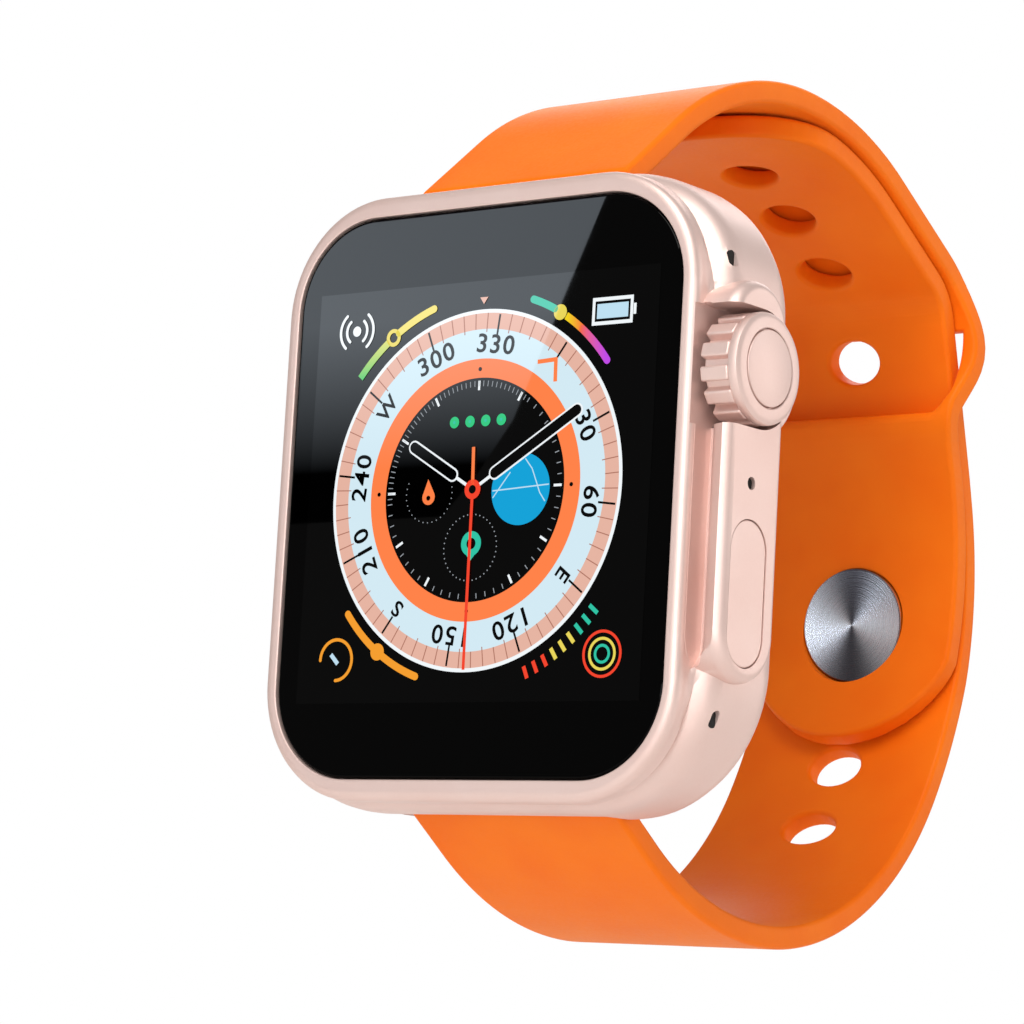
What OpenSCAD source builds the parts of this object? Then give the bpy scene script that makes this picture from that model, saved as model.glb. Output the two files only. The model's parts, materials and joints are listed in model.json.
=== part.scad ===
// Square touch-screen watch with a crown, a side button and a pin-and-tuck strap.
// +X is the crown side, -Y is the way the screen faces, +Z is twelve o'clock.
// The origin is the centre of the flat charging face on the back. Millimetres.

/* [Case] */
// Width of the case without the crown guard
case_w = 44.6; // [43:0.1:46]
// Height of the case
case_h = 49.8; // [48.5:0.1:51]
// Thickness from the glass to the charging face
case_t = 13; // [12.8:0.1:13.6]
// Corner radius of the case
case_r = 11.5; // [10:0.1:12]
// Width of the raised rim around the glass
rim_w = 40.6; // [40.2:0.1:41]
// Height of the raised rim around the glass
rim_h = 48.6; // [48.2:0.1:48.8]

/* [Glass] */
// Width of the glass
glass_w = 37.9; // [37:0.1:38]
// Height of the glass
glass_h = 45; // [44:0.1:45.2]
// Corner radius of the glass
glass_r = 7.4; // [6:0.1:8]
// Thickness of the glass
glass_t = 1.4; // [1.2:0.1:1.6]

/* [Crown] */
// Radius over the crown's teeth
crown_r = 4.3; // [4:0.05:4.4]
// Length of the crown
crown_len = 3.5; // [3:0.1:3.6]
// Number of teeth around the crown
crown_teeth = 14; // [10:1:18]
// Height of the crown's axis above the middle of the case
crown_z = 8.8; // [8:0.1:9]
// How far the crown presses in
crown_travel = 0.5; // [0.3:0.05:0.5]

/* [Side button] */
// Length of the side button
button_len = 11.1; // [9:0.1:11.4]
// Width of the side button
button_wide = 4.7; // [3.5:0.1:4.8]
// Height of the side button's middle, below the middle of the case
button_z = -8.3; // [-8.8:0.1:-8]
// How far the side button presses in
button_travel = 0.4; // [0.2:0.05:0.4]

/* [Strap] */
// Width of the strap
strap_w = 20.6; // [19:0.1:21]
// Thickness of the strap
strap_t = 1.9; // [1.7:0.05:2]
// Width of the long strap's tail, past the stud
tail_w = 19.6; // [18:0.1:19.7]
// Spacing of the strap's holes along its length
hole_pitch = 7.2; // [7:0.1:7.4]
// Diameter of the stud's steel disc
disc_d = 10.2; // [8:0.1:11]

/* [Hidden] */
$fn = 64;
tiny = 0.01;
gap = 0.1;
running_gap = 0.05;

// Stations through the case's thickness.
glass_front = -case_t;
rim_front = glass_front - 0.2;
glass_back = glass_front + glass_t;
ledge_y = glass_back + 0.4;
shoulder_y = glass_front + 2;
cavity_front = glass_front + 2.6;
cavity_back = -2.6;
ledge_back = -2;
cover_in = -1.7;
cover_out = -0.9;
frame_back = -1;
screw_at = [14, 14.2];
screw_bore = 0.53;

// The cavity and the wall around it.
cavity_w = 39.2;
cavity_h = 37.8;
cavity_r = 8;
cavity_x = cavity_w / 2;

// Each station of the rounded case body is a depth and how far its edge is pulled in.
body_stations = [
    [shoulder_y, 1.3], [shoulder_y + 0.3, 0.7], [shoulder_y + 0.8, 0.3],
    [shoulder_y + 1.6, 0.05], [shoulder_y + 2.4, 0], [-4.6, 0], [-3.6, 0.3],
    [-2.8, 0.8], [-2.1, 1.5], [-1.5, 2.4], [frame_back, 3.6],
];

// The crown, its guard and the pocket it turns in.
guard_x = case_w / 2 + 1.2;
guard_y = glass_front + 4.3;
guard_low = -15;
guard_high = 15.6;
guard_half = 3.7;
crown_y = glass_front + 4.4;
crown_in = guard_x + 0.75 - crown_len;
crown_floor = crown_in - crown_travel - gap;
tooth_h = 0.7;
tooth_w = 1.15;
flange_len = 1;
cap_r = 2.95;
shaft_r = 1.2;
shaft_end = 13.9;
bushing_r = 1.9;
bushing_in = cavity_x - 2.2;
boss_r = 2.7;
drum_r = 1.8;
plunger_r = 1.6;
journal_r = 0.7;
switch_x = 10.9;

// The side button.
button_y = glass_front + 3.8;
button_out = guard_x - 0.05;
button_in = guard_x - 1.6;
button_floor = button_in - button_travel - gap;
post_r = 0.6;
post_z = 3.4;
clip_in = cavity_x - 1.4;
clip_t = 0.4;
switch_top = clip_in - 0.6;

// The strap slots: two round flanks joined, open outwards.
slot_y = [-7, -4.8];
slot_z = 22.6;
slot_r = 1.7;
mouth = [-7.6, -4.2];
slot_end = strap_w / 2 + 0.2;
bead_r = slot_r - gap;
core_r = 0.8;
release_z = 20.1;
release_w = 1.8;
release_len = 5;
recess_y = [-6.9, -4.6];

// Each strap's outer face is a path in the Y-Z plane: a start, a heading in degrees and then
// stretches. A stretch is [0, length] when straight, or [radius, turn], with left turns positive.
upper_start = [-9.2, 25.4];
upper_heading = 40;
upper_path = [
    [0, 8.8], [28, -42.8], [31, -27.9], [0, 9.7], [8.5, -86.7], [0, 2.6], [1.6, 50.4],
    [34, -42.3], [30, -14],
];
lower_start = [-7.1, -23.9];
lower_heading = -32;
lower_path = [
    [12, -4], [0, 6], [31, 29.3], [28.1, 66.9], [46, 12], [36, 33.5], [0, 13.4],
    [6.4, 43.7], [0, 9.6], [28.9, 31.5], [25.9, 8],
];
tip_y = 21.2;
clasp_z = -4.1;
head_r = 3.2;
slot_low = 14.2;
slot_high = 22;
slot_half = strap_w / 2 - 0.1;
hole_r = 1.95;
hole_spread = 0.6;
// Holes in the long strap, counted in pitches from the one that the stud is in.
hole_steps = [-3, -2, -1, 0, 1, 2, 3.4, 4.9, 5.9, 6.9];

// ---- Functions -------------------------------------------------------------------------

// Length of one stretch of a path.
function stretch_len(s) = s[0] == 0 ? s[1] : s[0] * abs(s[1]) * PI / 180;

// Where a stretch leads from point p and heading h, after a share f of it, as [y, z, heading].
function along(p, h, s, f) = s[0] == 0
    ? [p[0] + f * s[1] * cos(h), p[1] + f * s[1] * sin(h), h]
    : let (k = sign(s[1]) * s[0], t = h + f * s[1])
      [p[0] - k * (sin(h) - sin(t)), p[1] + k * (cos(h) - cos(t)), t];

// Every point of a path, as [y, z, heading].
function trace(p, h, path, i = 0) = i == len(path)
    ? [[p[0], p[1], h]]
    : let (s = path[i], n = s[0] == 0 ? 1 : ceil(abs(s[1]) / 4), e = along(p, h, s, 1))
      concat(
          [for (k = [0:n - 1]) along(p, h, s, k / n)],
          trace([e[0], e[1]], e[2], path, i + 1)
      );

// The place that lies a length d along a path.
function place(p, h, path, d, i = 0) =
    let (s = path[i], l = stretch_len(s), e = along(p, h, s, 1))
    d <= l || i == len(path) - 1 ? along(p, h, s, d / l)
    : place([e[0], e[1]], e[2], path, d - l, i + 1);

// A traced path moved sideways by d, to the left when positive.
function beside(pts, d) = [for (q = pts) [q[0] - d * sin(q[2]), q[1] + d * cos(q[2])]];

function backwards(v) = [for (i = [len(v) - 1:-1:0]) v[i]];

// Length along a path at which it first climbs past height z, from length d on.
function reach(p, h, path, z, d) =
    place(p, h, path, d)[1] >= z ? d : reach(p, h, path, z, d + 0.1);

// Half width of the short strap at height z: it swells beside the slot.
function upper_half(z) =
    let (u = (z - 19.6) / 8.5) strap_w / 2 + (abs(u) < 1 ? 0.75 * (1 + cos(180 * u)) : 0);

upper_pts = trace(upper_start, upper_heading, upper_path);
lower_pts = trace(lower_start, lower_heading, lower_path);
upper_back = [for (q = upper_pts) if (q[0] > 35 && q[1] < clasp_z) q][0];
clasp_inner = upper_back[0] - strap_t;
stud_s = reach(lower_start, lower_heading, lower_path, clasp_z, 60);
stud_out = max(
    [for (d = [-head_r:head_r / 4:head_r]) place(lower_start, lower_heading, lower_path, stud_s + d)[0]]
);

// ---- Shapes used by several pieces -----------------------------------------------------

// A rounded rectangle in the X-Z plane, extruded along Y from y0 to y1.
module slab(w, h, r, y0, y1) {
    translate([0, y1, 0]) rotate([90, 0, 0]) linear_extrude(y1 - y0) union() {
        square([w - 2 * r, h], center = true);
        square([w, h - 2 * r], center = true);
        for (x = [-1, 1], z = [-1, 1])
            translate([x * (w / 2 - r), z * (h / 2 - r)]) circle(r);
    }
}

// A box given by its lowest and highest corners.
module block(a, b) {
    translate(a) cube(b - a);
}

// A rod along X, and one along Y, given by its ends.
module rod_x(r, x0, x1, y, z) {
    translate([x0, y, z]) rotate([0, 90, 0]) cylinder(r = r, h = x1 - x0);
}
module rod_y(r, y0, y1, x, z) {
    translate([x, y0, z]) rotate([-90, 0, 0]) cylinder(r = r, h = y1 - y0);
}

// A bar along X whose section is a slot long in Z, with round ends.
module capsule_x(len, wide, x0, x1, y, z) {
    for (k = [-1, 1]) rod_x(wide / 2, x0, x1, y, z + k * (len - wide) / 2);
    block([x0, y - wide / 2, z - (len - wide) / 2], [x1, y + wide / 2, z + (len - wide) / 2]);
}

// A bar along Y whose section is a slot long in X, with round ends.
module capsule_y(len, wide, y0, y1, z) {
    for (k = [-1, 1]) rod_y(wide / 2, y0, y1, k * (len - wide) / 2, z);
    block([-(len - wide) / 2, y0, z - wide / 2], [(len - wide) / 2, y1, z + wide / 2]);
}

// An outline in the Y-Z plane, extruded along X.
module side_profile(x0, x1) {
    translate([x0, 0, 0]) rotate([90, 0, 90]) linear_extrude(x1 - x0) children();
}

// A shape drawn in the +X, +Z quarter, repeated in all four.
module quarters() {
    for (x = [0, 1], z = [0, 1]) mirror([x, 0, 0]) mirror([0, 0, z]) children();
}

// Mirrors a piece drawn at the top of the case to the bottom.
module at_end(upper) {
    mirror([0, 0, upper ? 0 : 1]) children();
}

// ---- Case ------------------------------------------------------------------------------

module body_shape() {
    hull() for (s = body_stations)
        slab(case_w - 2 * s[1], case_h - 2 * s[1], case_r - s[1] * 0.8, s[0], s[0] + tiny);
}

module guard_shape() {
    hull() for (k = [[0, 0.7], [0.2, 0.3], [0.6, 0]], z = [guard_low, guard_high])
        rod_x(
            guard_half - k[0], cavity_x + 1, guard_x - k[1], guard_y,
            z - sign(z) * guard_half
        );
    rod_x(crown_r + 0.9, cavity_x + 1, guard_x - 0.15, crown_y, crown_z);
}

// The bead and neck that a strap end slides in by, grown by extra.
module lug_section(extra, neck = 2.55) {
    for (y = slot_y) translate([y, slot_z]) circle(bead_r + extra);
    translate([slot_y[0], slot_z - bead_r - extra])
        square([slot_y[1] - slot_y[0], 2 * (bead_r + extra)]);
    translate([mouth[0] + gap - extra, slot_z])
        square([mouth[1] - mouth[0] - 2 * (gap - extra), neck + extra]);
}

module case_frame() {
    color("#E6CDC7") {
        difference() {
            union() {
                slab(rim_w, rim_h, 9.4, rim_front, shoulder_y + 0.5);
                body_shape();
                guard_shape();
            }
            slab(glass_w + 2 * gap, glass_h + 2 * gap, glass_r + gap, rim_front - 1, ledge_y);
            slab(35.4, 42.5, 6, ledge_y - tiny, cavity_front + 0.1);
            slab(cavity_w, cavity_h, cavity_r, cavity_front, cavity_back);
            slab(31, 34, 7.5, cavity_back - tiny, ledge_back + tiny);
            slab(34.2, 37.2, 9.1, ledge_back, 1);
            for (u = [true, false]) at_end(u) end_cuts();
            crown_cuts();
            button_cuts();
            wall_openings();
            quarters() rod_y(screw_bore, -5.6, 0, screw_at[0], screw_at[1]);
        }
        difference() {
            rod_x(boss_r, bushing_in, cavity_x + 0.2, crown_y, crown_z);
            rod_x(bushing_r + 0.02, bushing_in - 1, cavity_x + 1, crown_y, crown_z);
            block([0, -case_t, 0], [case_w, cavity_front + 0.05, case_h]);
        }
        quarters() screw_boss();
    }
}

// A strap slot, the release button's channel and the latch spring's recess.
module end_cuts() {
    side_profile(-case_w, slot_end) {
        lug_section(gap);
        translate([mouth[0], slot_z]) square([mouth[1] - mouth[0], 5]);
    }
    capsule_y(release_len + 0.3, release_w + 0.2, recess_y[1] - tiny, 1, release_z);
    block([-2.6, recess_y[0], 19.4], [2.6, recess_y[1], 21.4]);
}

module crown_cuts() {
    rod_x(crown_r + 0.3, crown_floor, guard_x + 5, crown_y, crown_z);
    block(
        [crown_floor, rim_front - 1, crown_z - crown_r - 0.3],
        [guard_x + 5, crown_y, crown_z + crown_r + 0.3]
    );
    rod_x(bushing_r + 0.02, bushing_in - 1, crown_floor + 1, crown_y, crown_z);
}

module button_cuts() {
    capsule_x(
        button_len + 0.3, button_wide + 0.3, button_floor, guard_x + 5, button_y, button_z
    );
    for (k = [-1, 1])
        rod_x(post_r + running_gap, cavity_x - 1, guard_x, button_y, button_z + k * post_z);
}

// Microphone holes on the crown side and a row of speaker slots on the other side.
module wall_openings() {
    rod_x(0.5, cavity_x - 1, guard_x + 1, glass_front + 3.74, 0);
    for (m = [[glass_front + 3, 17.2], [glass_front + 3.5, -17.7]])
        capsule_x(1.2, 0.8, 15, guard_x + 1, m[0], m[1]);
    for (i = [-1:1]) capsule_x(3.6, 0.9, -case_w, 2 - cavity_x, -6.2, 5 * i);
}

// A post for a back screw, joined to the corner of the case by a web.
module screw_boss() {
    difference() {
        union() {
            rod_y(1.5, -6.2, ledge_back, screw_at[0], screw_at[1]);
            translate([screw_at[0], 0, screw_at[1]]) rotate([0, -45, 0])
                block([0, -6.2, -1.2], [4.6, ledge_back, 1.2]);
        }
        rod_y(screw_bore, -5.6, 0, screw_at[0], screw_at[1]);
    }
}

module front_glass() {
    color("#101214") slab(glass_w, glass_h, glass_r, glass_front, glass_back);
}

module glass_gasket() {
    color("#222222") difference() {
        slab(glass_w - 0.4, glass_h - 0.4, glass_r, glass_back, ledge_y - tiny);
        slab(35.2, 42.3, 6, glass_back - 1, ledge_y + 1);
    }
}

module display_panel() {
    color("#0A0A0C") slab(34.6, 41.6, 5.6, glass_back, glass_back + 0.9);
}

module display_flex() {
    color("#B4631F") side_profile(-6, 6) polygon([
        [glass_back + 0.9, -18.6], [glass_back + 0.9, -18.3], [-8.95, -18.3],
        [-8.95, -14], [-8.75, -14], [-8.75, -18.6],
    ]);
}

module midframe() {
    color("#9AA0A6") difference() {
        slab(36, 36.8, 7, cavity_front + 0.15, cavity_front + 0.65);
        block([-7, -12, -19], [7, -8, -17.8]);
        rod_y(4, -12, -8, -9, 8);
        block([2, -12, -9], [9, -8, 6]);
        block([10.9, -12, 3], [20, -8, 14.5]);
        block([16.2, -12, -13], [20, -8, -3.5]);
    }
}

module main_board() {
    color("#1D6B3C") difference() {
        slab(27.4, 34, 4, -8.75, -8.05);
        block([6, -10, 3], [20, -7, 14.4]);
        for (z = [-1, 1]) rod_y(0.8, -10, -7, -11.5, z * 14.5);
    }
}

module shield_cans() {
    color("#C9CCD0") {
        block([-11, -8.05, -2], [3, -7.1, 9]);
        block([-10, -8.05, -13], [8, -7.1, -4]);
    }
}

module battery() {
    color("#2B2F36") block([-8.5, -6.9, -13.5], [10, -3.5, 8.5]);
}

module battery_flex() {
    color("#B4631F") side_profile(-5, -1) polygon([
        [-8.05, 10], [-8.05, 12.2], [-5, 12.2], [-5, 8.5], [-5.2, 8.5], [-5.2, 12],
        [-7.85, 12], [-7.85, 10],
    ]);
}

module vibration_motor() {
    color("#B8BCC2") block([-18.4, -6.9, -11], [-10, -3.7, -3.6]);
}

module speaker_driver() {
    color("#2A2A2E") difference() {
        block([-18.4, -7.6, -2.6], [-12, -3.7, 10.4]);
        block([-19, -6.8, 0], [-17.8, -4.4, 8]);
    }
}

module speaker_mesh() {
    color("#4A4E55") block([-cavity_x, -7.2, -7.4], [0.2 - cavity_x, -5.2, 7.4]);
}

module microphone_meshes() {
    color("#4A4E55") {
        rod_x(0.9, cavity_x - 0.2, cavity_x, glass_front + 3.74, 0);
        rod_x(0.3, 18, 18.2, glass_front + 3, 17.2);
        rod_x(0.3, 18, 18.2, glass_front + 3.5, -17.7);
    }
}

// ---- Crown -----------------------------------------------------------------------------

module crown_bushing() {
    color("#C8A45A") difference() {
        rod_x(bushing_r, bushing_in, crown_floor, crown_y, crown_z);
        rod_x(shaft_r + running_gap, bushing_in - 1, crown_floor + 1, crown_y, crown_z);
    }
}

module crown_bracket() {
    color("#9AA0A6") {
        block([10.3, cavity_front + 0.65, 4], [10.9, -6.4, 13.4]);
        block([10.9, -6.7, 4.2], [17, -6.4, 6.7]);
    }
}

module crown_encoder() {
    color("#2B2F36") block([14.9, -9.7, 4.2], [16.9, -7.5, 6.9]);
}

module crown_switch() {
    color("#D8D8D8") {
        block([switch_x, crown_y - 2, crown_z - 2], [switch_x + 1, crown_y + 2, crown_z + 2]);
        rod_x(0.8, switch_x + 1 - tiny, switch_x + 1.75, crown_y, crown_z);
    }
}

module crown_spring() {
    color("#C9CCD0") difference() {
        rod_x(1.5, switch_x + 1, shaft_end - 0.6, crown_y, crown_z);
        rod_x(1.15, switch_x, shaft_end, crown_y, crown_z);
    }
}

module crown_plunger() {
    color("#E8E4DA") difference() {
        rod_x(plunger_r, shaft_end - 0.6, shaft_end + 0.4, crown_y, crown_z);
        rod_x(journal_r + running_gap, shaft_end - 0.2, shaft_end + 1, crown_y, crown_z);
    }
}

module crown_shaft() {
    color("#C9CCD0") difference() {
        union() {
            rod_x(journal_r, shaft_end - 0.15, shaft_end + 0.6, crown_y, crown_z);
            rod_x(shaft_r, shaft_end + 0.5, crown_in + 0.8, crown_y, crown_z);
            rod_x(drum_r, 14.9, 16.8, crown_y, crown_z);
        }
        difference() {
            rod_x(shaft_r + 1, 18.3, 18.9, crown_y, crown_z);
            rod_x(0.85, 18, 19.5, crown_y, crown_z);
        }
    }
}

module crown_seal() {
    color("#202020") translate([18.6, crown_y, crown_z]) rotate([0, 90, 0])
        rotate_extrude() translate([1.05, 0]) circle(0.19, $fn = 24);
}

module crown_knob() {
    color("#E6CDC7") difference() {
        union() {
            rod_x(crown_r - tooth_h, crown_in, guard_x + 0.6, crown_y, crown_z);
            rod_x(crown_r, guard_x + 0.75 - flange_len, guard_x + 0.75, crown_y, crown_z);
            for (i = [0:crown_teeth - 1])
                translate([0, crown_y, crown_z]) rotate([i * 360 / crown_teeth, 0, 0])
                    block(
                        [crown_in, crown_r - tooth_h - 0.5, -tooth_w / 2],
                        [guard_x, crown_r - 0.02, tooth_w / 2]
                    );
        }
        rod_x(cap_r + 0.1, guard_x + 0.35, guard_x + 2, crown_y, crown_z);
        rod_x(shaft_r, crown_in - 1, crown_in + 0.8, crown_y, crown_z);
    }
}

module crown_cap() {
    color("#E6CDC7") rod_x(cap_r, guard_x + 0.35, guard_x + 0.8, crown_y, crown_z);
}

// ---- Side button -----------------------------------------------------------------------

module side_button() {
    color("#E6CDC7") {
        capsule_x(button_len, button_wide, button_in, button_out, button_y, button_z);
        for (k = [-1, 1])
            rod_x(post_r, clip_in, button_in + tiny, button_y, button_z + k * post_z);
    }
}

module side_button_seals() {
    color("#202020") for (k = [-1, 1])
        translate([cavity_x - 0.45, button_y, button_z + k * post_z]) rotate([0, 90, 0])
            rotate_extrude() translate([post_r + 0.21, 0]) circle(0.19, $fn = 24);
}

module side_button_clip() {
    color("#C9CCD0") block(
        [clip_in - clip_t, button_y - 0.8, button_z - 4.2],
        [clip_in, button_y + 0.8, button_z + 4.2]
    );
}

module side_button_switch() {
    color("#D8D8D8") {
        block(
            [switch_top - 1, button_y - 1.4, button_z - 4],
            [switch_top - 0.6, button_y + 1.4, button_z + 4]
        );
        rod_x(0.9, switch_top - 0.61, switch_top - 0.25, button_y, button_z);
    }
}

module side_button_springs() {
    color("#C9CCD0") for (k = [-1, 1]) difference() {
        rod_x(0.6, switch_top - 0.6, clip_in - clip_t, button_y, button_z + k * 2.6);
        rod_x(0.35, switch_top - 2, clip_in, button_y, button_z + k * 2.6);
    }
}

// ---- Back ------------------------------------------------------------------------------

module back_cover() {
    color("#1B1C1F") difference() {
        union() {
            slab(34, 37, 9, cover_in, cover_out);
            rod_y(13.6, cover_in + 0.1, -0.35, 0, 0);
            translate([0, -0.36, 0]) rotate([-90, 0, 0]) cylinder(r1 = 13.6, r2 = 12, h = 0.36);
        }
        rod_y(6.6, -0.6, 1, 0, 0);
        rod_y(5.4, -3, 0, 0, 0);
        quarters() {
            rod_y(0.55, -3, 0, screw_at[0], screw_at[1]);
            rod_y(1.15, cover_in + 0.35, 0, screw_at[0], screw_at[1]);
        }
    }
}

module back_gasket() {
    color("#222222") difference() {
        slab(33.8, 36.8, 8.9, ledge_back, cover_in);
        slab(31.4, 34.4, 7.7, ledge_back - 1, cover_in + 1);
        quarters() rod_y(0.6, -4, 0, screw_at[0], screw_at[1]);
    }
}

module back_screws() {
    color("#C9CCD0") quarters() difference() {
        union() {
            rod_y(1.05, cover_in + 0.35, cover_out - 0.05, screw_at[0], screw_at[1]);
            rod_y(0.5, -5, cover_in + 0.36, screw_at[0], screw_at[1]);
        }
        for (a = [0, 90]) translate([screw_at[0], cover_out, screw_at[1]]) rotate([0, a, 0])
            cube([1.2, 0.5, 0.3], center = true);
    }
}

module sensor_window() {
    color("#0C0F14") rod_y(6.5, -0.6, 0, 0, 0);
}

module sensor_board() {
    color("#1D6B3C") {
        rod_y(7.6, -2.7, -2.1, 0, 0);
        for (a = [0:90:270]) rotate([0, a, 0]) block([2.2, -2.11, -0.8], [3.8, -1.2, 0.8]);
        block([-0.9, -2.11, -0.9], [0.9, -1, 0.9]);
    }
}

module charging_coil() {
    color("#B8692E") difference() {
        rod_y(11.8, -2.6, cover_in, 0, 0);
        rod_y(8, -4, 0, 0, 0);
    }
}

module alignment_magnet() {
    color("#8D9299") difference() {
        rod_y(13.4, -2.6, cover_in, 0, 0);
        rod_y(12.1, -4, 0, 0, 0);
    }
}

// ---- Band release ----------------------------------------------------------------------

module release_button() {
    color("#E6CDC7") capsule_y(release_len, release_w, -2.9, frame_back, release_z);
}
module release_button_upper() {
    at_end(true) release_button();
}
module release_button_lower() {
    at_end(false) release_button();
}

module release_spring() {
    color("#C9CCD0") for (k = [-1, 1]) difference() {
        rod_y(0.6, recess_y[1] + 0.1, -2.95, k * 1.5, release_z);
        rod_y(0.35, recess_y[1] - 1, -2, k * 1.5, release_z);
    }
}
module release_spring_upper() {
    at_end(true) release_spring();
}
module release_spring_lower() {
    at_end(false) release_spring();
}

// A strip spring in the slot's floor, whose bump sits in the strap bead's notch.
module latch_spring() {
    color("#C9CCD0") {
        block([-2.3, recess_y[0] + 0.2, 19.7], [2.3, recess_y[1] - 0.2, 20]);
        block([-0.5, recess_y[0] + 0.4, 19.9], [0.5, recess_y[1] - 0.4, 21.4]);
    }
}
module latch_spring_upper() {
    at_end(true) latch_spring();
}
module latch_spring_lower() {
    at_end(false) latch_spring();
}

// ---- Strap -----------------------------------------------------------------------------

// The bead's notch for the latch spring, and the hole along it for the stiff core.
module bead_cuts() {
    block([-1, recess_y[0], 20], [1, recess_y[1], 21.55]);
    rod_x(core_r + 0.02, -strap_w, 9.6, -5.9, slot_z + 0.1);
}

module lug_core() {
    color("#C9CCD0") rod_x(core_r, -9.5, 9.5, -5.9, slot_z + 0.1);
}
module lug_core_upper() {
    at_end(true) lug_core();
}
module lug_core_lower() {
    at_end(false) lug_core();
}

// A through hole in a strap, at place q = [y, z, heading] on its outer face.
module strap_hole(q) {
    translate([0, q[0], q[1]]) rotate([q[2], 0, 0]) {
        for (k = [-1, 1]) translate([k * hole_spread, 0, -4]) cylinder(r = hole_r, h = 8);
        translate([-hole_spread, -hole_r, -4]) cube([2 * hole_spread, 2 * hole_r, 8]);
    }
}

// The short strap seen from behind: swollen beside its slot, round at its lower end.
module upper_outline() {
    tops = [for (z = [0:1:28]) [upper_half(z), z]];
    polygon(concat(
        [[-strap_w / 2, clasp_z], [strap_w / 2, clasp_z]], tops,
        [[strap_w / 2, 60], [-strap_w / 2, 60]],
        backwards([for (q = tops) [-q[0], q[1]]])
    ));
    intersection() {
        translate([0, clasp_z]) circle(strap_w / 2 + 0.7);
        translate([-strap_w / 2, clasp_z - 20]) square([strap_w, 20.5]);
    }
}

// The slot that the tail passes through, seen from behind.
module slot_outline() {
    r = 1.8;
    translate([-slot_half, slot_low + r]) square([2 * slot_half, slot_high - slot_low - r]);
    translate([r - slot_half, slot_low]) square([2 * (slot_half - r), r + tiny]);
    for (k = [-1, 1]) translate([k * (slot_half - r), slot_low + r]) circle(r);
}

module strap_upper() {
    color("#F07A1E") difference() {
        intersection() {
            side_profile(-15, 15) difference() {
                union() {
                    polygon(concat(
                        beside(upper_pts, 0), backwards(beside(upper_pts, -strap_t))
                    ));
                    lug_section(0, 3.6);
                }
                translate([-20, 20]) square([20 + mouth[0] + gap, case_h / 2 + 0.15 - 20]);
            }
            union() {
                translate([0, 60, 0]) rotate([90, 0, 0]) linear_extrude(40) upper_outline();
                block([-strap_w / 2, -20, 15], [strap_w / 2, 20 + tiny, 60]);
            }
        }
        translate([0, 60, 0]) rotate([90, 0, 0]) linear_extrude(30) slot_outline();
        at_end(true) bead_cuts();
        rod_y(1.3, 30, 60, 0, clasp_z);
        rod_y(disc_d / 2 + 0.1, 30, clasp_inner + 0.5, 0, clasp_z);
    }
}

// What is cut from one side of the long strap so that its tail is narrower, with a round tip.
module tail_trim() {
    translate([0, 60, 0]) rotate([90, 0, 0]) linear_extrude(52) polygon([
        [strap_w / 2 + tiny, -9], [tail_w / 2, 8], [tail_w / 2, 60], [strap_w, 60], [strap_w, -9],
    ]);
    difference() {
        block([-tiny, 0, 20], [strap_w, tip_y, 50]);
        translate([0, tip_y, 19]) cylinder(r = tail_w / 2, h = 40);
    }
}

module strap_lower() {
    color("#F07A1E") difference() {
        side_profile(-strap_w / 2, strap_w / 2) {
            polygon(concat(beside(lower_pts, 0), backwards(beside(lower_pts, strap_t))));
            mirror([0, 1]) lug_section(0);
        }
        block([-strap_w, mouth[1] - gap, -case_h / 2 - 0.15], [strap_w, -1, -15]);
        for (k = [0, 1]) mirror([k, 0, 0]) tail_trim();
        at_end(false) bead_cuts();
        for (i = hole_steps)
            strap_hole(place(lower_start, lower_heading, lower_path, stud_s + i * hole_pitch));
    }
}

module clasp_disc() {
    color("#C9CCD0") {
        rod_y(disc_d / 2, clasp_inner - 0.1, clasp_inner + 0.5, 0, clasp_z);
        rod_y(1.3, clasp_inner + 0.49, clasp_inner + 1.4, 0, clasp_z);
    }
}

module clasp_stud() {
    color("#C9CCD0") {
        rod_y(1.3, clasp_inner + 1.4, stud_out + 0.11, 0, clasp_z);
        translate([0, stud_out + 0.1, clasp_z]) rotate([-90, 0, 0])
            cylinder(r1 = head_r, r2 = head_r - 0.8, h = 1);
    }
}

case_frame();
front_glass();
glass_gasket();
display_panel();
display_flex();
midframe();
main_board();
shield_cans();
battery();
battery_flex();
vibration_motor();
speaker_driver();
speaker_mesh();
microphone_meshes();
crown_bushing();
crown_bracket();
crown_encoder();
crown_switch();
crown_spring();
crown_plunger();
crown_shaft();
crown_seal();
crown_knob();
crown_cap();
side_button();
side_button_seals();
side_button_clip();
side_button_switch();
side_button_springs();
back_cover();
back_gasket();
back_screws();
sensor_window();
sensor_board();
charging_coil();
alignment_magnet();
release_button_upper();
release_button_lower();
release_spring_upper();
release_spring_lower();
latch_spring_upper();
latch_spring_lower();
strap_upper();
strap_lower();
lug_core_upper();
lug_core_lower();
clasp_disc();
clasp_stud();
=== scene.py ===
import json
import math

import bmesh
import bpy
from mathutils import Matrix, Vector


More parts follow.
